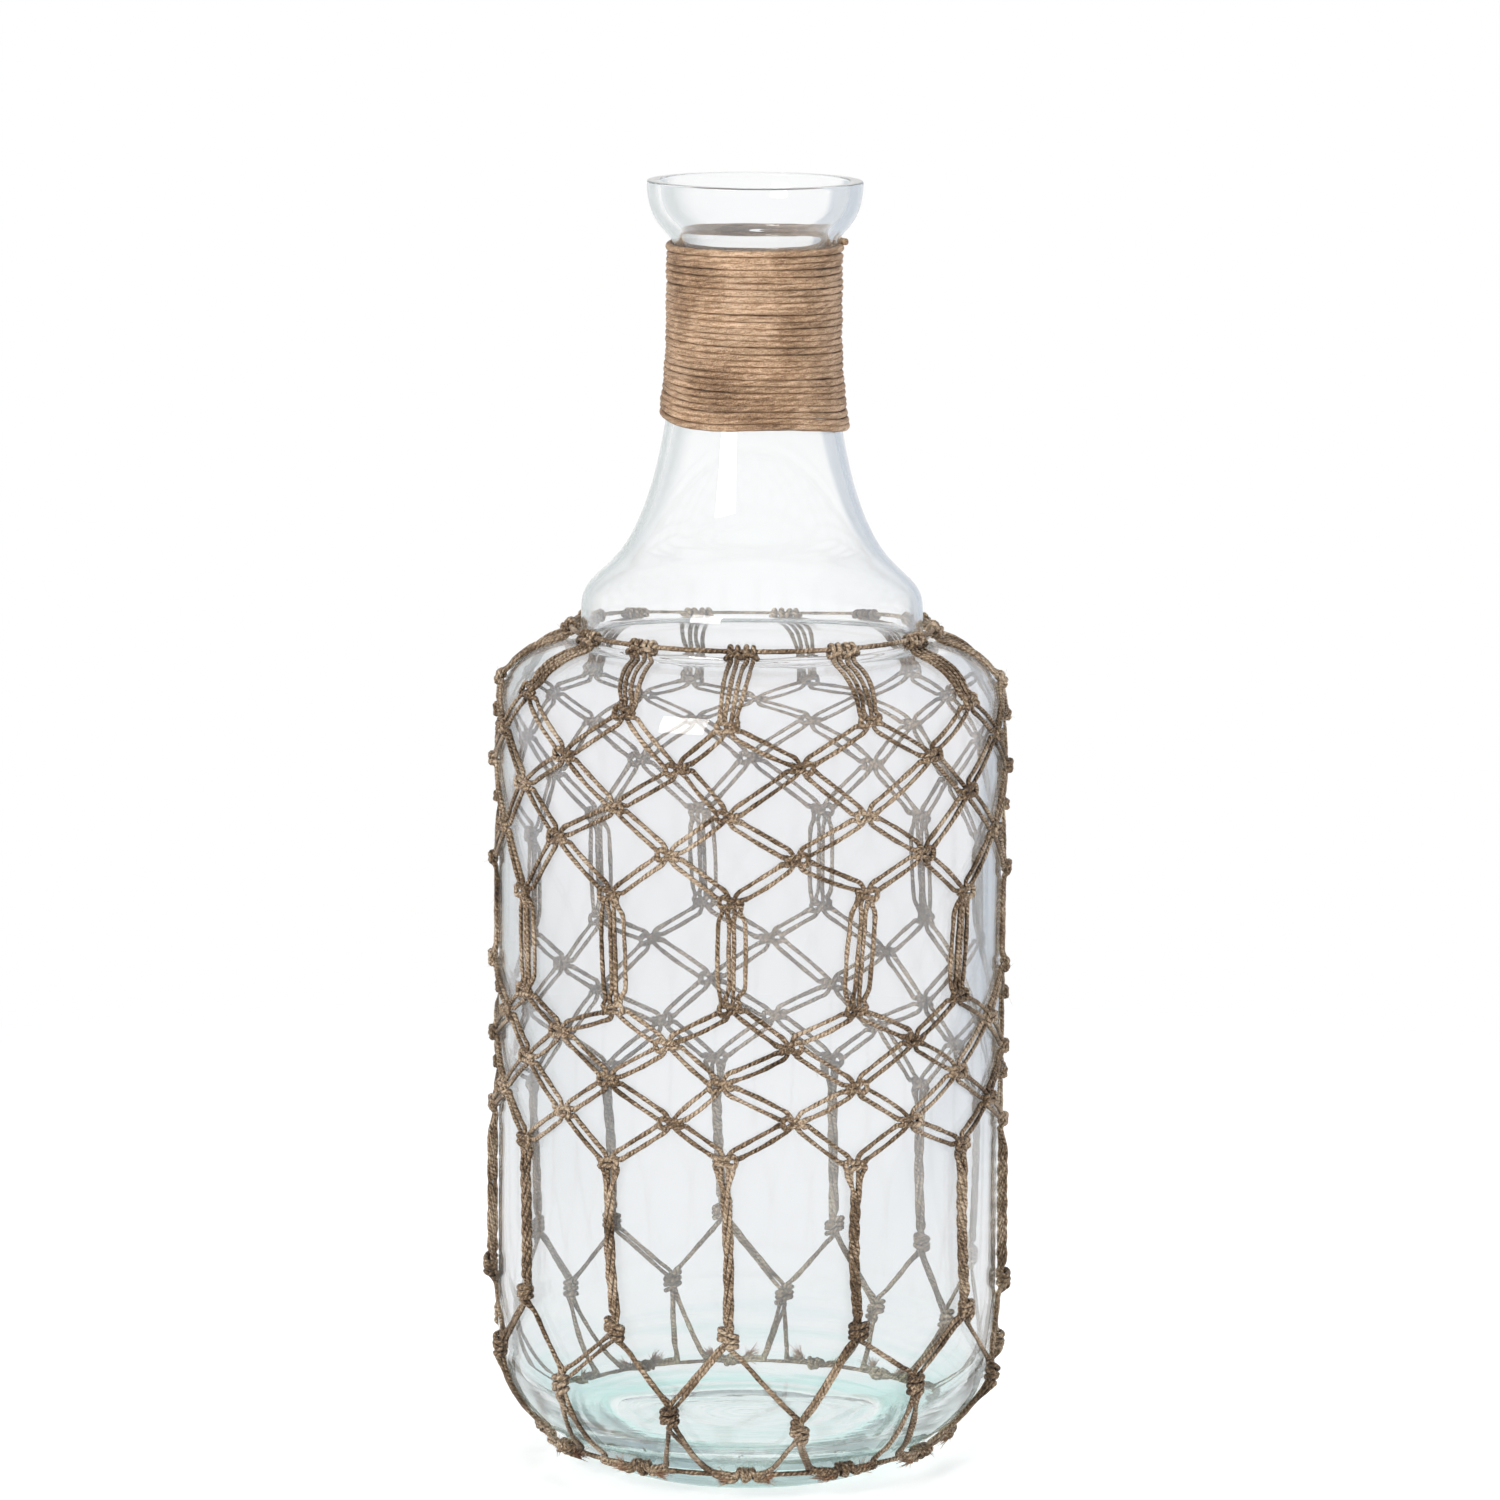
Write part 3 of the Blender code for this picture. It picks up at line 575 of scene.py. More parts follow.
def tube_mesh(name, points, yarn, rng, closed=False):
    """Twisted cord along a line, creased between its plies and swollen in tight bends."""
    radius, lay, sides = yarn["radius"], yarn["lay"], yarn["sides"]
    line, length = resample(points, CORD_STEP)
    if closed:
        line = line[:-1]
    count = len(line)
    rows = count if closed else count - 1
    tangents, normals, binormals = carried_frames(line, closed)
    angles = tau * np.arange(sides) / sides
    shares = 1 - yarn["creases"] * (0.5 - 0.5 * np.cos(yarn["plies"] * angles)) ** CREASE_POWER
    turns = max(round(length / lay), 1) if closed else length / lay
    rate = np.cumsum(uneven(count, rng, TWIST_PERIOD, TWIST_UNEVENNESS))
    twist = tau * turns * rate / rate[-1]
    thickness = radius * uneven(count, rng, THICKNESS_PERIOD, yarn["unevenness"])
    if closed:
        thickness[:] = radius
    bend = np.linalg.norm(np.gradient(tangents, axis=0), axis=1) * rows / length
    thickness *= 1 + BEND_SWELL * np.clip(bend / TIGHT_BEND, 0, 1)
    turned = (angles[None, :] + twist[:, None])[..., None]
    ring = normals[:, None, :] * np.cos(turned) + binormals[:, None, :] * np.sin(turned)
    reach = thickness[:, None] * shares[None, :]
    verts = (line[:, None, :] + ring * reach[..., None]).reshape(-1, 3)
    faces, uvs = sleeve(rows, count, sides, length / rows)
    if not closed:
        last = (count - 1) * sides
        verts = np.vstack([verts, line[0], line[-1]])
        faces += [(count * sides, (k + 1) % sides, k) for k in range(sides)]
        faces += [(count * sides + 1, last + k, last + (k + 1) % sides) for k in range(sides)]
        uvs = np.vstack([uvs, np.zeros((6 * sides, 2))])
    return cord_mesh(name, verts, faces, uvs)


def new_object(name, data):
    made = bpy.data.objects.new(name, data)
    SCENE.collection.objects.link(made)
    return made


def add_piece(name, mesh, material, slot, *replaced):
    """Links a piece with its material onto the root body, and hides the parts that it replaces."""
    piece = new_object(name, mesh)
    mesh.materials.append(material)
    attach(piece, "root")
    if replaced:
        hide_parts(*replaced)
    return piece


class Shading:
    """A node tree being built: each method adds nodes and gives their output."""

    def __init__(self, tree):
        self.tree = tree
        tree.nodes.clear()

    def node(self, kind, inputs=None, **settings):
        """Adds a node and gives all its outputs; inputs hold links or values, colours of three numbers."""
        made = self.tree.nodes.new("ShaderNode" + kind)
        for key, value in settings.items():
            setattr(made, key, value)
        for key, value in (inputs or {}).items():
            socket = made.inputs[key]
            if isinstance(value, bpy.types.NodeSocket):
                self.tree.links.new(value, socket)
            else:
                socket.default_value = (*value, 1.0) if socket.type == "RGBA" else value
        return made.outputs

    def calc(self, operation, *values):
        return self.node("Math", dict(enumerate(values)), operation=operation)[0]

    def times(self, first, second):
        return self.calc("MULTIPLY", first, second)

    def total(self, *parts):
        """Sum of values, each times its share."""
        value = self.times(*parts[0])
        for part, share in parts[1:]:
            value = self.calc("MULTIPLY_ADD", part, share, value)
        return value

    def vector(self, operation, *values):
        outputs = self.node("VectorMath", dict(enumerate(values)), operation=operation)
        return outputs["Value" if operation in ("LENGTH", "DOT_PRODUCT") else "Vector"]

    def split(self, vector):
        return self.node("SeparateXYZ", {0: vector})

    def join(self, x=0.0, y=0.0, z=0.0):
        return self.node("CombineXYZ", {0: x, 1: y, 2: z})[0]

    def noise(self, place, scale, **details):
        named = {key.title(): value for key, value in details.items()}
        return self.node("TexNoise", {"Vector": place, "Scale": scale, **named})[0]

    def between(self, value, start, end, low=0.0, high=1.0, **settings):
        """Low up to the start, high from the end on."""
        return self.node("MapRange", {"Value": value, 1: start, 2: end, 3: low, 4: high}, **settings)[0]

    def mix(self, share, first, second):
        return self.node("Mix", {0: share, 6: first, 7: second}, data_type="RGBA")[2]

    def ramp(self, share, stops):
        """Colour ramp from (place, colour) stops."""
        made = self.tree.nodes.new("ShaderNodeValToRGB")
        self.tree.links.new(share, made.inputs[0])
        ramp = made.color_ramp
        while len(ramp.elements) > 1:
            ramp.elements.remove(ramp.elements[-1])
        ramp.elements[0].position = stops[0][0]
        ramp.elements[0].color = (*stops[0][1], 1.0)
        for place, colour in stops[1:]:
            ramp.elements.new(place).color = (*colour, 1.0)
        return made.outputs["Color"]

    def bump(self, height, relief):
        strength, distance = relief
        return self.node("Bump", {"Height": height, "Strength": strength, "Distance": distance})[0]

    def glow(self, colour, strength=1.0):
        return self.node("Emission", {"Color": colour, "Strength": strength})[0]

    def either(self, share, first, second):
        """Mix of two shaders."""
        return self.node("MixShader", {0: share, 1: first, 2: second})[0]


def new_material(name):
    material = bpy.data.materials.new(name)
    material.use_nodes = True
    return material, Shading(material.node_tree)


def painted_flank_shade(s, place, normal):
    """Painted shade on a net cord's flanks, which face neither out of the vase nor into it."""
    x, y, z = s.split(place)
    over_shoulder = s.between(z, 0.285, 0.325, 0.0, 0.085)
    under_corner = s.between(z, 0.0, 0.04, -0.08, 0.0)
    outward = s.join(x, y, s.calc("ADD", over_shoulder, under_corner))
    facing = s.calc("ABSOLUTE", s.vector("DOT_PRODUCT", normal, outward))
    return s.between(facing, 0.005, 0.055, 0.42, 1.0)


def painted_winding_shade_and_unevenness(s, place, normal, length):
    """Painted shade where the winding lies against the glass, and uneven colour along the twine."""
    x, y, _ = s.split(place)
    facing = s.vector("DOT_PRODUCT", normal, s.join(x, y))
    # Painted shade on the winding's side towards the glass
    painted_shade_on_glass_side = s.between(facing, -0.025, -0.005, 0.42, 1.0)
    stretches = s.noise(s.join(s.times(length, TWINE_STRETCHES)), 1.0, detail=2.0)
    return s.times(s.between(stretches, 0.3, 0.7, 0.82, 1.14), painted_shade_on_glass_side)


def painted_seam_shade_share(s, normal, grains, length):
    """How much of the painted shade in the seams between the winding's turns shows."""
    leaning = s.calc("ABSOLUTE", s.split(normal)[2])
    # Painted shade in the seams between the turns
    seam_shade = s.between(s.calc("MULTIPLY_ADD", grains, 0.25, leaning), 0.76, 1.04, 0.0, 0.78)
    breaks = s.noise(s.join(s.times(length, SEAM_SHADE_BREAKS)), 1.0, detail=2.0)
    return s.times(seam_shade, s.between(breaks, 0.36, 0.6, 0.25, 1.0))


def jute_material(name, look, wound=False):
    """Twisted fibre: slanting streaks, uneven colour, and painted shade in the creases between plies, on the
    net's flanks and in the winding's seams.
    """
    material, s = new_material(name)
    turn, length, _ = s.split(s.node("UVMap", uv_map="cord")[0])
    slant = s.calc("MULTIPLY_ADD", length, tau / look["streak"], s.times(turn, tau))
    across = s.times(s.calc("COSINE", slant), FIBRE_ACROSS)
    outward = s.times(s.calc("SINE", slant), FIBRE_ACROSS)
    fibre_place = s.join(across, outward, s.times(length, FIBRES_ALONG))
    fibres = s.noise(fibre_place, 1.0, detail=5.0, roughness=0.72)
    place = s.node("TexCoord")["Object"]
    normal = s.node("NewGeometry")["Normal"]
    patches = s.noise(place, look["patches"], detail=4.0)
    grains = s.noise(place, look["grain"], detail=3.0)
    twist = s.total((slant, look["plies"]), (patches, PATCH_TWIST))
    crown = s.calc("MULTIPLY_ADD", s.calc("COSINE", twist), 0.5, 0.5)
    # The ply crowns are painted a little lighter
    colour = s.ramp(s.total((fibres, 0.7), (patches, 0.5), (grains, 0.5), (crown, 0.06)), look["tones"])
    # Painted shade in the creases between the plies
    shade = s.node("Mix", {0: crown, 2: look["crease_shade"], 3: 1.0}, data_type="FLOAT")[0]
    if wound:
        # Painted shade in the seams between the winding's turns
        colour = s.mix(painted_seam_shade_share(s, normal, grains, length), colour, SEAM_SHADE_COLOUR)
        # Painted shade against the glass, and uneven colour along the twine
        painted_shade_and_unevenness = painted_winding_shade_and_unevenness(s, place, normal, length)
    else:
        # Painted shade on the net cord's flanks
        painted_shade_and_unevenness = painted_flank_shade(s, place, normal)
    shade = s.times(shade, painted_shade_and_unevenness)
    relief = s.total((grains, 0.3), (fibres, 0.5), (crown, 0.35))
    shader = s.node("BsdfPrincipled", {
        "Base Color": s.node("VectorMath", {0: colour, "Scale": shade}, operation="SCALE")[0],
        "Roughness": look["roughness"],
        "Specular IOR Level": look["gloss"],
        "Sheen Weight": look["sheen"],
        "Sheen Roughness": 0.45,
        "Normal": s.bump(relief, JUTE_RELIEF),
    })[0]
    s.node("OutputMaterial", {"Surface": shader})
    return material


def glass_material():
    """Clear blown glass with a green tint, and slow waves near the floor."""
    material, s = new_material("clear_glass")
    place = s.node("NewGeometry")["Position"]
    height = s.split(place)[2]
    level_place = s.vector("MULTIPLY", place, LEVEL_ONLY)
    radius = s.vector("LENGTH", level_place)
    low = s.between(height, 0.0, 0.05, 1.0, 0.0)

    slow = s.noise(place, 16.0, detail=1.0)
    rings = s.times(s.calc("ADD", height, radius), RINGS_SCALE)
    drawn = s.vector("ADD", s.vector("MULTIPLY", level_place, DRAWN_SCALE), s.join(z=rings))
    swirl = s.noise(drawn, 1.5, detail=3.0, distortion=0.5)
    ripples = s.times(s.times(swirl, low), RIPPLES)
    waves = s.calc("MULTIPLY_ADD", slow, SLOW_WAVES, ripples)

    level = s.calc("DIVIDE", height, RIM_HEIGHT)
    on_floor = s.times(s.between(radius, 0.052, 0.0585, 1.0, 0.0), low)
    tint = s.mix(on_floor, s.ramp(level, GLASS_TINTS), FLOOR_TINT)
    facing = s.node("LayerWeight", {"Blend": 0.5})["Facing"]
    tint = s.vector("MULTIPLY", tint, s.ramp(facing, EDGE_TINTS))
    foot = s.between(height, 0.008, 0.036, 1.0, 0.0)
    foot = s.times(foot, s.between(radius, 0.054, 0.0575))
    tint = s.vector("MULTIPLY", tint, s.mix(foot, WHITE, s.ramp(facing, GRAZED_TINTS)))
    tint = s.vector("MULTIPLY", tint, s.mix(low, WHITE, s.ramp(swirl, STREAK_TINTS)))

    shader = s.node("BsdfPrincipled", {
        "Base Color": tint,
        "Roughness": 0.0,
        "IOR": 1.47,
        "Transmission Weight": s.ramp(level, CLEARNESSES),
        "Normal": s.bump(waves, GLASS_RELIEF),
    })[0]
    shadow = s.node("BsdfTransparent", {"Color": (0.955, 0.975, 0.97)})[0]
    surface = s.either(s.node("LightPath")["Is Shadow Ray"], shader, shadow)
    depth = s.node("VolumeAbsorption", {"Color": (0.77, 0.795, 0.79), "Density": 6.0})[0]
    s.node("OutputMaterial", {"Surface": surface, "Volume": depth})
    return material


def rounded(points, corner, reach):
    """The same line with a smooth bend for its corner."""
    near = [i for i, p in enumerate(points) if dist(p, corner) < reach]
    before, after = points[near[0] - 1], points[near[-1] + 1]
    bend = [bezier(before, corner, corner, after, i / BEND_STEPS) for i in range(1, BEND_STEPS)]
    return points[:near[0]] + bend + points[near[-1] + 1:]


def lip_points():
    """The rounded lip, from its inner edge to its outer edge."""
    middle = RIM_HEIGHT - LIP_ROUNDING
    points = []
    for reach, first in ((RIM_RADIUS - RIM_WALL + LIP_ROUNDING, -LIP_STEPS), (RIM_RADIUS - LIP_ROUNDING, 0)):
        for k in range(first, first + LIP_STEPS + 1):
            turn = pi / 2 * k / LIP_STEPS
            points.append((reach + LIP_ROUNDING * sin(turn), middle + LIP_ROUNDING * cos(turn)))
    return points


def inside_outline(outside):
    """Inside of the glass from the rim down to the middle of the floor."""
    inside = []
    for i, (radius, height) in enumerate(outside):
        before = outside[max(i - 1, 0)]
        after = outside[min(i + 1, len(outside) - 1)]
        along = Vector((after[0] - before[0], after[1] - before[1])).normalized()
        wall = float(np.interp(height, WALL_HEIGHTS, WALLS))
        inside.append((radius + along.y * wall, height - along.x * wall))
    inside[0] = (outside[0][0] - RIM_WALL, outside[0][1])
    inside = rounded(inside, (COLLAR_RADIUS - SHOULDER_WALL, COLLAR_FOOT - SHOULDER_WALL), INNER_COLLAR_BEND)
    floor_edge = (FOOT_RADIUS - FLOOR_WALL, FLOOR_THICKNESS)
    parts = (curve(inside[-1], floor_edge, FLOOR_HANDLES), (0.0, FLOOR_THICKNESS))
    return outline(inside, parts)


def glass_outline():
    """Section of the glass: up its inside, over the lip, down and under the foot."""
    parts = (
        CUP_CURVE, (NECK_RADIUS, NECK_FOOT), SWEEP_CURVE, SKIRT_CURVE, (COLLAR_RADIUS, COLLAR_FOOT),
        SHOULDER_CURVE, (BODY_RADIUS, CORNER_HEIGHT),
    )
    outside = outline([(RIM_RADIUS, RIM_HEIGHT)], parts)
    below_lip = RIM_HEIGHT - LIP_ROUNDING
    bore = [p for p in inside_outline(outside) if p[1] < below_lip]
    outside = rounded(outside, (COLLAR_RADIUS, COLLAR_FOOT), OUTER_COLLAR_BEND)
    body = [p for p in outside if p[1] < below_lip]
    corner = [p for p in stretch(CORNER_CURVE, 2 * CURVE_STEPS) if p[1] > FOOT_ROUNDING]
    foot = [
        (FOOT_RADIUS - FOOT_ROUNDING * 0.2, FOOT_ROUNDING * 0.3),
        (FOOT_RADIUS - FOOT_ROUNDING, 0.0),
        (FOOT_RADIUS - 4 * FOOT_ROUNDING, 0.0),
        (FOOT_RADIUS - 7 * FOOT_ROUNDING, FOOT_HOLLOW * 0.6),
        (FOOT_RADIUS * 0.5, FOOT_HOLLOW),
        (0.0, FOOT_HOLLOW),
    ]
    return bore[::-1] + lip_points() + body + corner + foot


def make_glass():
    mesh = bpy.data.meshes.new("glass")
    profile = [(radius, 0.0, height) for radius, height in glass_outline()]
    mesh.from_pydata(profile, [(i, i + 1) for i in range(len(profile) - 1)], [])
    bottle = add_piece("blown_glass", mesh, glass_material(), "clear_glass", "glass_bottle")
    turn = bottle.modifiers.new("turn", "SCREW")
    turn.axis = "Z"
    turn.angle = tau
    turn.steps = GLASS_SEGMENTS
    turn.render_steps = GLASS_SEGMENTS
    turn.use_merge_vertices = True
    turn.merge_threshold = 0.00001
    turn.use_smooth_shade = True


def ties(row, outer):
    """Whether a strand ties a row's knots, rather than filling them."""
    return outer != (ROW_PHASES[row] == 1)


def knot_looks():
    """Small differences between the knots."""
    rng = random.Random(KNOT_SEED)
    looks = {}
    for row in range(LAST_ROW + 1):
        for index in range(COLUMNS):
            looks[row, index] = {
                "leader": rng.choice((-1, 1)),
                "tilt": radians(rng.uniform(-KNOT_TILT, KNOT_TILT)),
                "wide": rng.uniform(*KNOT_WIDTHS),
                "tall": rng.uniform(*KNOT_HEIGHTS),
                "turn": rng.uniform(0, tau),
            }
    return looks


LOOKS = knot_looks()


def knot_place(row, column, hand):
    """A cord's knot in a row: its look, angle and way down, and the cord's side in it."""
    halfway = ROW_PHASES[row] == 1
    index = column - 1 if halfway and hand < 0 else column
    turned = -360 if index < 0 else 0
    index %= COLUMNS
    span = RING_HEIGHT - BASE_RING_HEIGHT
    height = BASE_RING_HEIGHT + span * ROW_HEIGHT_SHARES[row] + KNOT_SLIP * ROW_SLIP_SHARES[row][index]
    return LOOKS[row, index], ROW_ANGLES[row][index] + turned, run_at(height), -hand if halfway else hand


def knot_points(row, column, hand, shares):
    """Places a knot's points, given in cord diameters, on the glass."""
    look, angle, centre, side = knot_place(row, column, hand)
    cosine, sine = cos(look["tilt"]), sin(look["tilt"])
    points = []
    for x, y, out in shares:
        x, y = side * x * look["wide"] * CORD, y * look["tall"] * CORD
        standoff = max(out * KNOT_FLATNESS, LYING) * CORD
        points.append(on_glass(angle, centre - (x * sine + y * cosine), x * cosine - y * sine, standoff))
    return points


def mirrored(half):
    """A whole way through a knot from its upper half."""
    return (*half, *((x, -y, out) for x, y, out in half[::-1] if y))


def square_knot(row, column, hand, outer):
    """A strand's way through a square knot: it fills, leads or follows."""
    look, _, _, side = knot_place(row, column, hand)
    if not ties(row, outer):
        half, (x, y, out) = FILLER, STEEP_FILLER
    elif side == look["leader"]:
        half, (x, y, out) = LEADER, STEEP_WORKER
    else:
        half, (x, y, out) = FOLLOWER, STEEP_WORKER
    shares = mirrored(half)
    if row in HUNG_ROWS:
        shares = ((x, y, out), *shares[1:])
    if row in CARRYING_ROWS:
        shares = (*shares[:-1], (x, -y, out))
    return knot_points(row, column, hand, shares)


def wrap_points(row, column, hand, start, end, wide):
    """A strand wound round its neighbours between two heights, in cord diameters."""
    look, angle, centre, side = knot_place(row, column, hand)
    count = int(WRAP_TURNS * WRAP_POINTS)
    points = []
    for i in range(count + 1):
        roll = tau * WRAP_TURNS * i / count - pi / 2
        slant = WRAP_SLANT * cos(roll) * side * look["leader"]
        y = (start + (end - start) * i / count + slant) * CORD * look["tall"]
        out = (WRAP_DEPTH + WRAP_LIFT + WRAP_DEPTH * sin(roll)) * CORD
        points.append(on_glass(angle, centre - y, side * wide * cos(roll) * CORD, out))
    return points


def overhand_knot(row, column, hand, outer, tall, wide):
    """One outer strand winds round the knot's upper half and one round its lower."""
    side = knot_place(row, column, hand)[3]
    if not ties(row, outer):
        x, above, out = CORE_ENDS
        middle_x, middle, middle_out = CORE_MIDDLE
        half = ((x, tall + above, out), (middle_x, tall * middle, middle_out))
        return knot_points(row, column, hand, mirrored(half))
    ends = (tall, -WRAP_OVERLAP) if side < 0 else (WRAP_OVERLAP, -tall)
    return wrap_points(row, column, hand, *ends, wide)


def bundle_points(column, hand, outer):
    """A lower leg: four strands run down as one loosely twisted bundle."""
    look, top_angle, top, _ = knot_place(LEG_TOP_ROW, column, hand)
    _, foot_angle, foot, _ = knot_place(LEG_TOP_ROW + 1, column, hand)
    start, end = top + BUNDLE_TOP_GAP, foot - BUNDLE_FOOT_GAP
    first_roll = pi * (0.5 * BUNDLE_QUARTERS[hand, outer] + 0.75)
    twist = (BUNDLE_TWIST + BUNDLE_TWIST_CHANGE * sin(look["turn"])) * look["leader"]
    bow = BUNDLE_BOW * sin(look["turn"] * 3)
    drift_start, drift = BUNDLE_DRIFT
    points = []
    for i in range(BUNDLE_POINTS):
        share = i / (BUNDLE_POINTS - 1)
        angle = top_angle + (foot_angle - top_angle) * (drift_start + drift * share)
        roll = first_roll + twist * share
        lateral = BUNDLE_RADIUS * cos(roll) + bow * sin(pi * share)
        standoff = BUNDLE_STANDOFF + BUNDLE_RADIUS * sin(roll)
        points.append(on_glass(angle, start + (end - start) * share, lateral, standoff))
    return points


def bar_points(column, hand, outer, rng):
    """A strand of a long bar: outer ones bow out, and inner ones lie together."""
    _, top_angle, top, side = knot_place(BAR_TOP_ROW, column, hand)
    _, foot_angle, foot, _ = knot_place(BAR_TOP_ROW + 1, column, hand)
    wide = BAR_OUTER * rng.uniform(*BAR_WIDTHS) if outer else BAR_INNER
    points = []
    for share in BAR_MARKS:
        swell = BAR_END + (1 - BAR_END) * sin(pi * share) if outer else 1.0
        angle = top_angle + (foot_angle - top_angle) * share
        lateral = side * wide * swell + rng.uniform(-BAR_DRIFT, BAR_DRIFT)
        points.append(on_glass(angle, top + (foot - top) * share, lateral, LYING * CORD))
    return points


def diagonal_points(start, end, bow):
    """A slightly bowed run on the glass between two knots."""
    a, b = np.array(start), np.array(end)
    points = []
    for share in RUN_MARKS:
        middle = a + (b - a) * share
        run = run_at(min(middle[2], COLLAR_FOOT))
        out = max(np.interp(run, RUN, NORMAL_OUT), RUN_OUTWARD)
        reach = np.interp(run, RUN, SKIN_RADIUS) + LYING * CORD / out
        middle[:2] *= reach / hypot(middle[0], middle[1])
        middle[2] += bow * sin(pi * share)
        points.append(tuple(middle))
    return points


def hanger_points(column, hand, outer, rng):
    """A strand from its lark's head over the shoulder to the first knot."""
    start_angle = RING_ANGLES[column]
    _, knot_angle, knot, _ = knot_place(0, column, hand)
    end = knot - HANGER_KNOT_GAP
    first, last, *bows = OUTER_HANGER if outer else INNER_HANGER
    bow = rng.uniform(*bows)
    points = []
    for share in HANGER_MARKS:
        lateral = first + (last - first) * share + bow * sin(pi * share)
        angle = start_angle + (knot_angle - start_angle) * share
        points.append(on_glass(angle, end * share, hand * lateral, (LYING + HANGER_LIFT) * CORD))
    return points


def at_ring(angle, lateral, out, up):
    """Point beside the top ring, which lies a little lower at the back."""
    height = RING_HEIGHT + RING_TILT * (cos(radians(angle)) - 1) / 2
    return around(radians(angle) + lateral / RING_RADIUS, RING_RADIUS + out, height + up)


def lark_head(column, hand):
    """A cord's fold: over the ring, down behind it, and across the front as a bar."""
    angle = RING_ANGLES[column]
    middle = hand * HEAD_SPACING
    lean = HEAD_LEAN * sin(LOOKS[0, column]["turn"] + hand) * HEAD_WRAP
    half = [(x, out * HEAD_WRAP, rise * HEAD_WRAP, 0.0) for x, out, rise in HEAD_TURN]
    half += [(x, out * HEAD_BAR, rise * HEAD_WRAP, lean) for x, out, rise in HEAD_CROSSING]
    up = [at_ring(angle, middle + hand * x * CORD, out, rise + slope) for x, out, rise, slope in half]
    down = [at_ring(angle, middle - hand * x * CORD, out, rise - slope) for x, out, rise, slope in half]
    return up + down[::-1]


def last_leg_points(start, end):
    """A leg of the last row: it drops, then runs in along the base ring."""
    angles = [degrees(atan2(p[0], -p[1])) for p in (start, end)]
    if abs(angles[1] - angles[0]) > 180:
        angles[1] += 360 if angles[0] > angles[1] else -360
    runs = [run_at(p[2]) for p in (start, end)]
    points = []
    for share, drop in LAST_LEG_MARKS:
        angle = angles[0] + (angles[1] - angles[0]) * share
        standoff = (LYING + LAST_LEG_LIFT * drop) * CORD
        points.append(on_glass(angle, runs[0] + (runs[1] - runs[0]) * drop, 0.0, standoff))
    return points


def tie_points(column, hand, outer, rng):
    """A strand's end: along the base ring, round it, and a tail past its neighbours."""
    tie = OUTER_TIE if outer else INNER_TIE
    angle = BASE_ANGLES[column]
    landing = hand * LANDINGS[hand][column]
    start = hand * rng.uniform(*TIE_STARTS)
    end = -hand * rng.uniform(*TIE_ENDS)
    layer = TIE_LAYERS[hand] + tie["layer"]
    above = BASE_RUN - tie["above"]
    points = [
        on_glass(angle, above - TIE_DIP, landing, tie["out"]),
        on_glass(angle, above, start + (landing - start) * TIE_APPROACH, tie["out"]),
    ]
    count = int(tie["turns"] * TIE_POINTS)
    phase = rng.uniform(*TIE_PHASES)
    for i in range(count + 1):
        roll = phase + tau * tie["turns"] * i / count
        lateral = start + (end - start) * (i / count) ** TIE_CROWDING
        standoff = max(RING_STANDOFF + layer * cos(roll), TIE_LEAST)
        points.append(on_glass(angle, BASE_RUN - layer * sin(roll), lateral, standoff))
    last = -hand * rng.uniform(*TAIL_REACHES)
    drop = rng.uniform(*TAIL_RISES)
    if TAIL_BACK_ANGLES[0] < angle < TAIL_BACK_ANGLES[1]:
        drop -= TAIL_BACK_RISE
    crown = RING_STANDOFF + layer
    points.append(on_glass(angle, BASE_RUN + TAIL_MIDDLE * drop, (end + last) / 2, crown + TAIL_LIFT))
    points.append(on_glass(angle, BASE_RUN + drop, last, crown - TAIL_SINK))
    return points


def strand_points(column, hand, outer, rng):
    """A strand's whole way from under its lark's head to its tail."""
    points = hanger_points(column, hand, outer, rng)
    for row in range(LAST_ROW + 1):
        if row == LEG_TOP_ROW + 1:
            here = bundle_points(column, hand, outer)
            here += overhand_knot(row, column, hand, outer, *LEG_FOOT_KNOT)
        elif row == LAST_ROW:
            here = overhand_knot(row, column, hand, outer, *LAST_KNOT)
        else:
            here = square_knot(row, column, hand, outer)
        if row == BAR_TOP_ROW + 1:
            points += bar_points(column, hand, outer, rng)
        elif row == LAST_ROW:
            points += diagonal_points(points[-1], here[0], rng.uniform(-LEG_BOW, LEG_BOW))
        elif row not in (0, LEG_TOP_ROW + 1):
            lower = ties(row, outer)
            bow = -rng.uniform(0.0, LOWER_BOW) if lower else rng.uniform(0.0, UPPER_BOW)
            points += diagonal_points(points[-1], here[0], bow)
        points += here
    ending = tie_points(column, hand, outer, rng)
    return points + last_leg_points(points[-1], ending[0]) + ending


def make_net():
    """Twenty-six folded cords, each knotted from the top ring to the base ring."""
    jute = jute_material("net_jute", NET_LOOK)
    rng = random.Random(CORD_SEED)
    routes = []
    for column in range(COLUMNS):
        for hand, side in ((-1, "left"), (1, "right")):
            outer = strand_points(column, hand, True, rng)
            inner = strand_points(column, hand, False, rng)
            route = catmull_rom(outer[::-1] + lark_head(column, hand) + inner)
            route = off_the_glass(route, NET_YARN["radius"])
            name = "%s_%02d" % (side, column + 1)
            mesh = tube_mesh("jute_" + name, route, NET_YARN, rng)
            add_piece("jute_" + name, mesh, jute, "net_jute", "net_cord_" + name)
            routes.append(route)
    make_rings(jute, rng)
    make_frays(routes, rng)
    make_hairs(routes, jute, rng)


def make_rings(jute, rng):
    angles = range(0, 360, RING_STEP)
    rings = (
        ("upper_ring", [at_ring(angle, 0.0, 0.0, 0.0) for angle in angles], "top_ring_cord"),
        ("lower_ring", [on_glass(a, BASE_RUN, 0.0, RING_STANDOFF) for a in angles], "bottom_ring_cord"),
    )
    for name, points, replaced in rings:
        mesh = tube_mesh(name, catmull_rom(points, closed=True), RING_YARN, rng, closed=True)
        add_piece(name, mesh, jute, "net_jute", replaced)


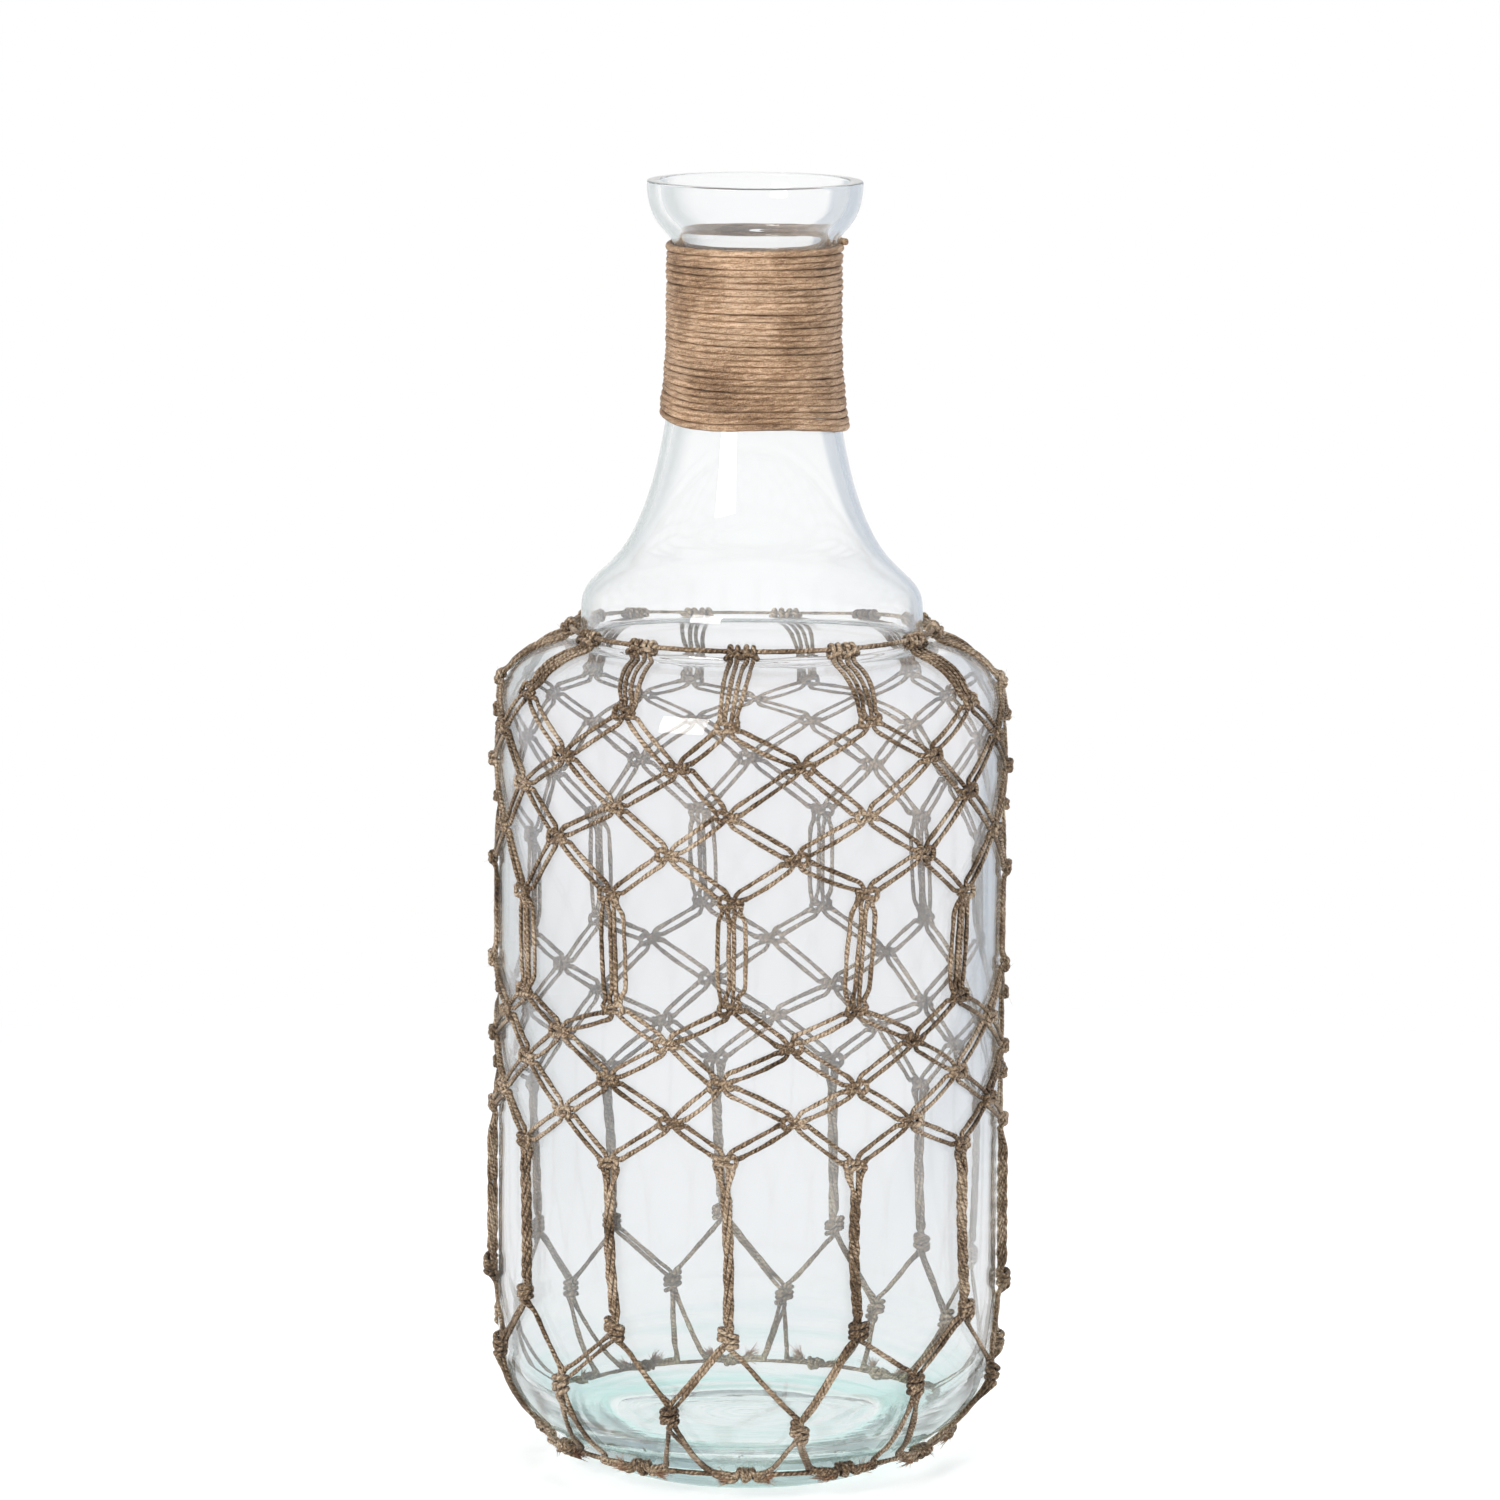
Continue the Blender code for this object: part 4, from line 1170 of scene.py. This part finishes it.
def hair_mesh(name, hairs, rng):
    """Tapering threads, each given by its points and its radius."""
    verts, faces, uvs = [], [], []
    for points, radius in hairs:
        count = len(points)
        shift = rng.uniform(0, 1)
        quads, marks = sleeve(count - 1, count, HAIR_SIDES, HAIR_TEXTURE_STEP, len(verts), shift)
        faces += quads
        uvs.append(marks)
        for i, point in enumerate(points):
            tangent = points[min(i + 1, count - 1)] - points[max(i - 1, 0)]
            side = np.cross(tangent, HAIR_SIDEWAYS)
            side /= np.linalg.norm(side) + TINY
            up = np.cross(tangent / (np.linalg.norm(tangent) + TINY), side)
            thin = radius * (1 - HAIR_TAPER * i / (count - 1))
            for k in range(HAIR_SIDES):
                turn = tau * k / HAIR_SIDES
                verts.append(tuple(point + thin * (cos(turn) * side + sin(turn) * up)))
    return cord_mesh(name, verts, faces, np.vstack(uvs))


def loose_way(rng, spread):
    return np.array([rng.gauss(0, spread) for _ in range(3)])


def fibre(kind, start, lean, rng):
    """Points and radius of a loose fibre that curls towards its tip."""
    lengths, radii, shares = kind
    reach = rng.uniform(*lengths)
    curl = loose_way(rng, FIBRE_CURL)
    return [start + lean * reach * t + curl * t * t for t in shares], rng.uniform(*radii)


def make_frays(routes, rng):
    """Tufts of loose fibre at the cords' cut ends."""
    hairs = []
    for route in routes:
        for end, before in ((route[0], route[FRAY_BACK]), (route[-1], route[-1 - FRAY_BACK])):
            way = (end - before) / np.linalg.norm(end - before)
            for _ in range(FRAY_COUNT):
                start = end - way * rng.uniform(0.0, FRAY_DEPTH) + loose_way(rng, FRAY_SPREAD)
                lean = way + loose_way(rng, FRAY_LEAN)
                hairs.append(fibre(FRAY, start, lean, rng))
    mesh = hair_mesh("frayed_ends", hairs, rng)
    add_piece("frayed_ends", mesh, jute_material("frayed_jute", FRAY_LOOK), "net_jute")


def make_hairs(routes, jute, rng):
    """Stray fibres that stand off the net's cords."""
    hairs = []
    for route in routes:
        for _ in range(HAIR_COUNT):
            i = rng.randrange(HAIR_MARGIN, len(route) - HAIR_MARGIN)
            spot = route[i]
            tangent = route[i + 2] - route[i - 2]
            tangent /= np.linalg.norm(tangent)
            out = np.array([spot[0], spot[1], 0.0]) / hypot(spot[0], spot[1])
            side = np.cross(tangent, out)
            lean = out * rng.uniform(0.1, 0.7) + side * rng.uniform(-1, 1)
            lean += tangent * rng.uniform(-1.6, 1.6)
            root = out * rng.uniform(0.2, 0.9) + side * rng.uniform(-0.8, 0.8)
            hairs.append(fibre(HAIR, spot + root * NET_YARN["radius"], lean, rng))
    add_piece("stray_fibres", hair_mesh("stray_fibres", hairs, rng), jute, "net_jute")


def winding_points(rng):
    """The twine's way: close turns, looser and slanting below, its start standing out."""
    outline = stretch(CUP_CURVE, NECK_STEPS) + [(NECK_RADIUS, NECK_FOOT)] + stretch(SWEEP_CURVE, NECK_STEPS)
    radii, heights = np.array(outline).T
    radius = TWINE_YARN["radius"]
    pitch = (TWINE_TOP - TWINE_FOOT - 2 * radius) / TWINE_TURNS
    count = TWINE_TURNS * TURN_POINTS + 1
    marks = range(0, count, WANDER_POINTS)
    wander = [rng.gauss(0, WANDER) for _ in marks]
    points = []
    for i in range(count):
        turns = i / TURN_POINTS
        fall = turns / TWINE_TURNS
        theta = radians(TWINE_START + 360 * turns)
        height = TWINE_TOP - radius - pitch * turns + (TILT_ABOVE - TILT_LOSS * fall) * sin(theta)
        height += FOOT_WAVE * fall**4 * sin(3 * theta + FOOT_WAVE_PHASE)
        height += float(np.interp(i, marks, wander)) - FOOT_LEAN * fall * cos(theta)
        reach = max(np.interp(-(height + s), -heights, radii) for s in (-radius, 0.0, radius))
        weave = TWINE_WEAVE * sin(turns * TWINE_WEAVE_RATE + 2 * theta)
        points.append(around(theta, reach + radius * TWINE_PRESS + weave, height))
    first, second = np.array(points[0]), np.array(points[1])
    back = (first - second) / np.linalg.norm(first - second)
    outward = np.array([first[0], first[1], 0.0]) / hypot(first[0], first[1])
    return [tuple(first + back * along + outward * out) for along, out in NUB] + points


def make_twine():
    """One long twine round the neck."""
    rng = random.Random(CORD_SEED + 1)
    route = catmull_rom(winding_points(rng), steps=3)
    mesh = tube_mesh("neck_winding", route, TWINE_YARN, rng)
    twine = jute_material("neck_twine", TWINE_LOOK, wound=True)
    add_piece("neck_winding", mesh, twine, "neck_twine", "neck_cord")


def rays(s):
    """Whether a ray comes from the camera, and whether from the glass."""
    path = s.node("LightPath")
    return path["Is Camera Ray"], s.calc("MAXIMUM", path["Is Glossy Ray"], path["Is Transmission Ray"])


def panel_colour(s, sideways, behind, strength):
    """What the glass sees of the grey panels left and right behind the vase."""
    panels = s.ramp(s.calc("MULTIPLY_ADD", sideways, 0.5, 0.5), PANEL_TONES)
    shown = s.times(s.between(behind, 0.0, 0.1), strength)
    return s.mix(shown, WHITE, panels)


def make_floor():
    """Pale floor: near the vase it takes its shadow, farther off it is plain white."""
    mesh = bpy.data.meshes.new("floor")
    corners = [(x * FLOOR_HALF, y * FLOOR_HALF, 0) for x, y in ((-1, -1), (1, -1), (1, 1), (-1, 1))]
    mesh.from_pydata(corners, [], [(0, 1, 2, 3)])
    floor = new_object("floor", mesh)
    material, s = new_material("pale_floor")
    place = s.node("NewGeometry")["Position"]
    away = s.vector("LENGTH", place)
    far = s.between(away, *FLOOR_FADE, interpolation_type="SMOOTHSTEP")
    matt = s.node("BsdfDiffuse", {"Color": (0.86, 0.86, 0.86)})[0]
    near = s.node("AddShader", {0: matt, 1: s.glow(WHITE, FLOOR_GLOW)})[0]
    x, y, _ = s.split(place)
    panels = panel_colour(s, s.calc("DIVIDE", x, away), s.calc("DIVIDE", y, away), far)
    beneath = s.either(s.calc("MAXIMUM", far, FLOOR_IN_GLASS), near, s.glow(panels))
    camera, in_glass = rays(s)
    surface = s.either(camera, matt, s.either(far, near, s.glow(WHITE)))
    s.node("OutputMaterial", {"Surface": s.either(in_glass, surface, beneath)})
    mesh.materials.append(material)


def make_world():
    """White for the camera, panels for what the glass sees, and a cool soft light."""
    world = bpy.data.worlds.new("studio")
    SCENE.world = world
    world.use_nodes = True
    s = Shading(world.node_tree)
    sideways, behind, up = s.split(s.node("TexCoord")["Generated"])
    seen_in_glass = s.vector("MULTIPLY", s.ramp(up, SKY_TONES), panel_colour(s, sideways, behind, 1.0))
    camera, in_glass = rays(s)
    seen = s.calc("MAXIMUM", camera, in_glass)
    colour = s.mix(camera, seen_in_glass, WHITE)
    light = s.node("Background", {"Color": (0.95, 0.97, 1.0), "Strength": 0.55})[0]
    backdrop = s.node("Background", {"Color": colour, "Strength": 1.0})[0]
    s.node("OutputWorld", {"Surface": s.either(seen, light, backdrop)})


def make_lamps():
    for name, (place, aim_height, size, watts, colour, mirrored) in LAMPS.items():
        lamp = bpy.data.lights.new(name, "AREA")
        lamp.shape = "RECTANGLE"
        lamp.size, lamp.size_y = size
        lamp.energy = watts
        lamp.color = colour
        holder = new_object(name, lamp)
        holder.location = place
        way = Vector((0, 0, aim_height)) - Vector(place)
        holder.rotation_euler = way.to_track_quat("-Z", "Y").to_euler()
        holder.visible_glossy = mirrored
        holder.visible_transmission = False


def make_camera():
    data = bpy.data.cameras.new("camera")
    data.lens = 163.5
    data.sensor_width = 36.0
    data.clip_start, data.clip_end = 0.1, 50
    camera = new_object("camera", data)
    camera.location = CAMERA_PLACE
    tilt = radians(CAMERA_TILT)
    turn = Vector((0, cos(tilt), -sin(tilt))).to_track_quat("-Z", "Y").to_matrix().to_4x4()
    camera.rotation_euler = (turn @ Matrix.Rotation(radians(CAMERA_ROLL), 4, "Z")).to_euler()
    SCENE.camera = camera


def set_bounces():
    """Light has to leave the thick foot of the glass again, or it would show black corners."""
    cycles = SCENE.cycles
    cycles.max_bounces = GLASS_BOUNCES
    cycles.transmission_bounces = GLASS_BOUNCES
    cycles.glossy_bounces = GLASS_BOUNCES


set_bounces()
make_camera()
make_glass()
make_twine()
make_net()
make_floor()
make_world()
make_lamps()
bpy.context.scene.view_settings.view_transform = "Standard"

bpy.context.view_layer.update()
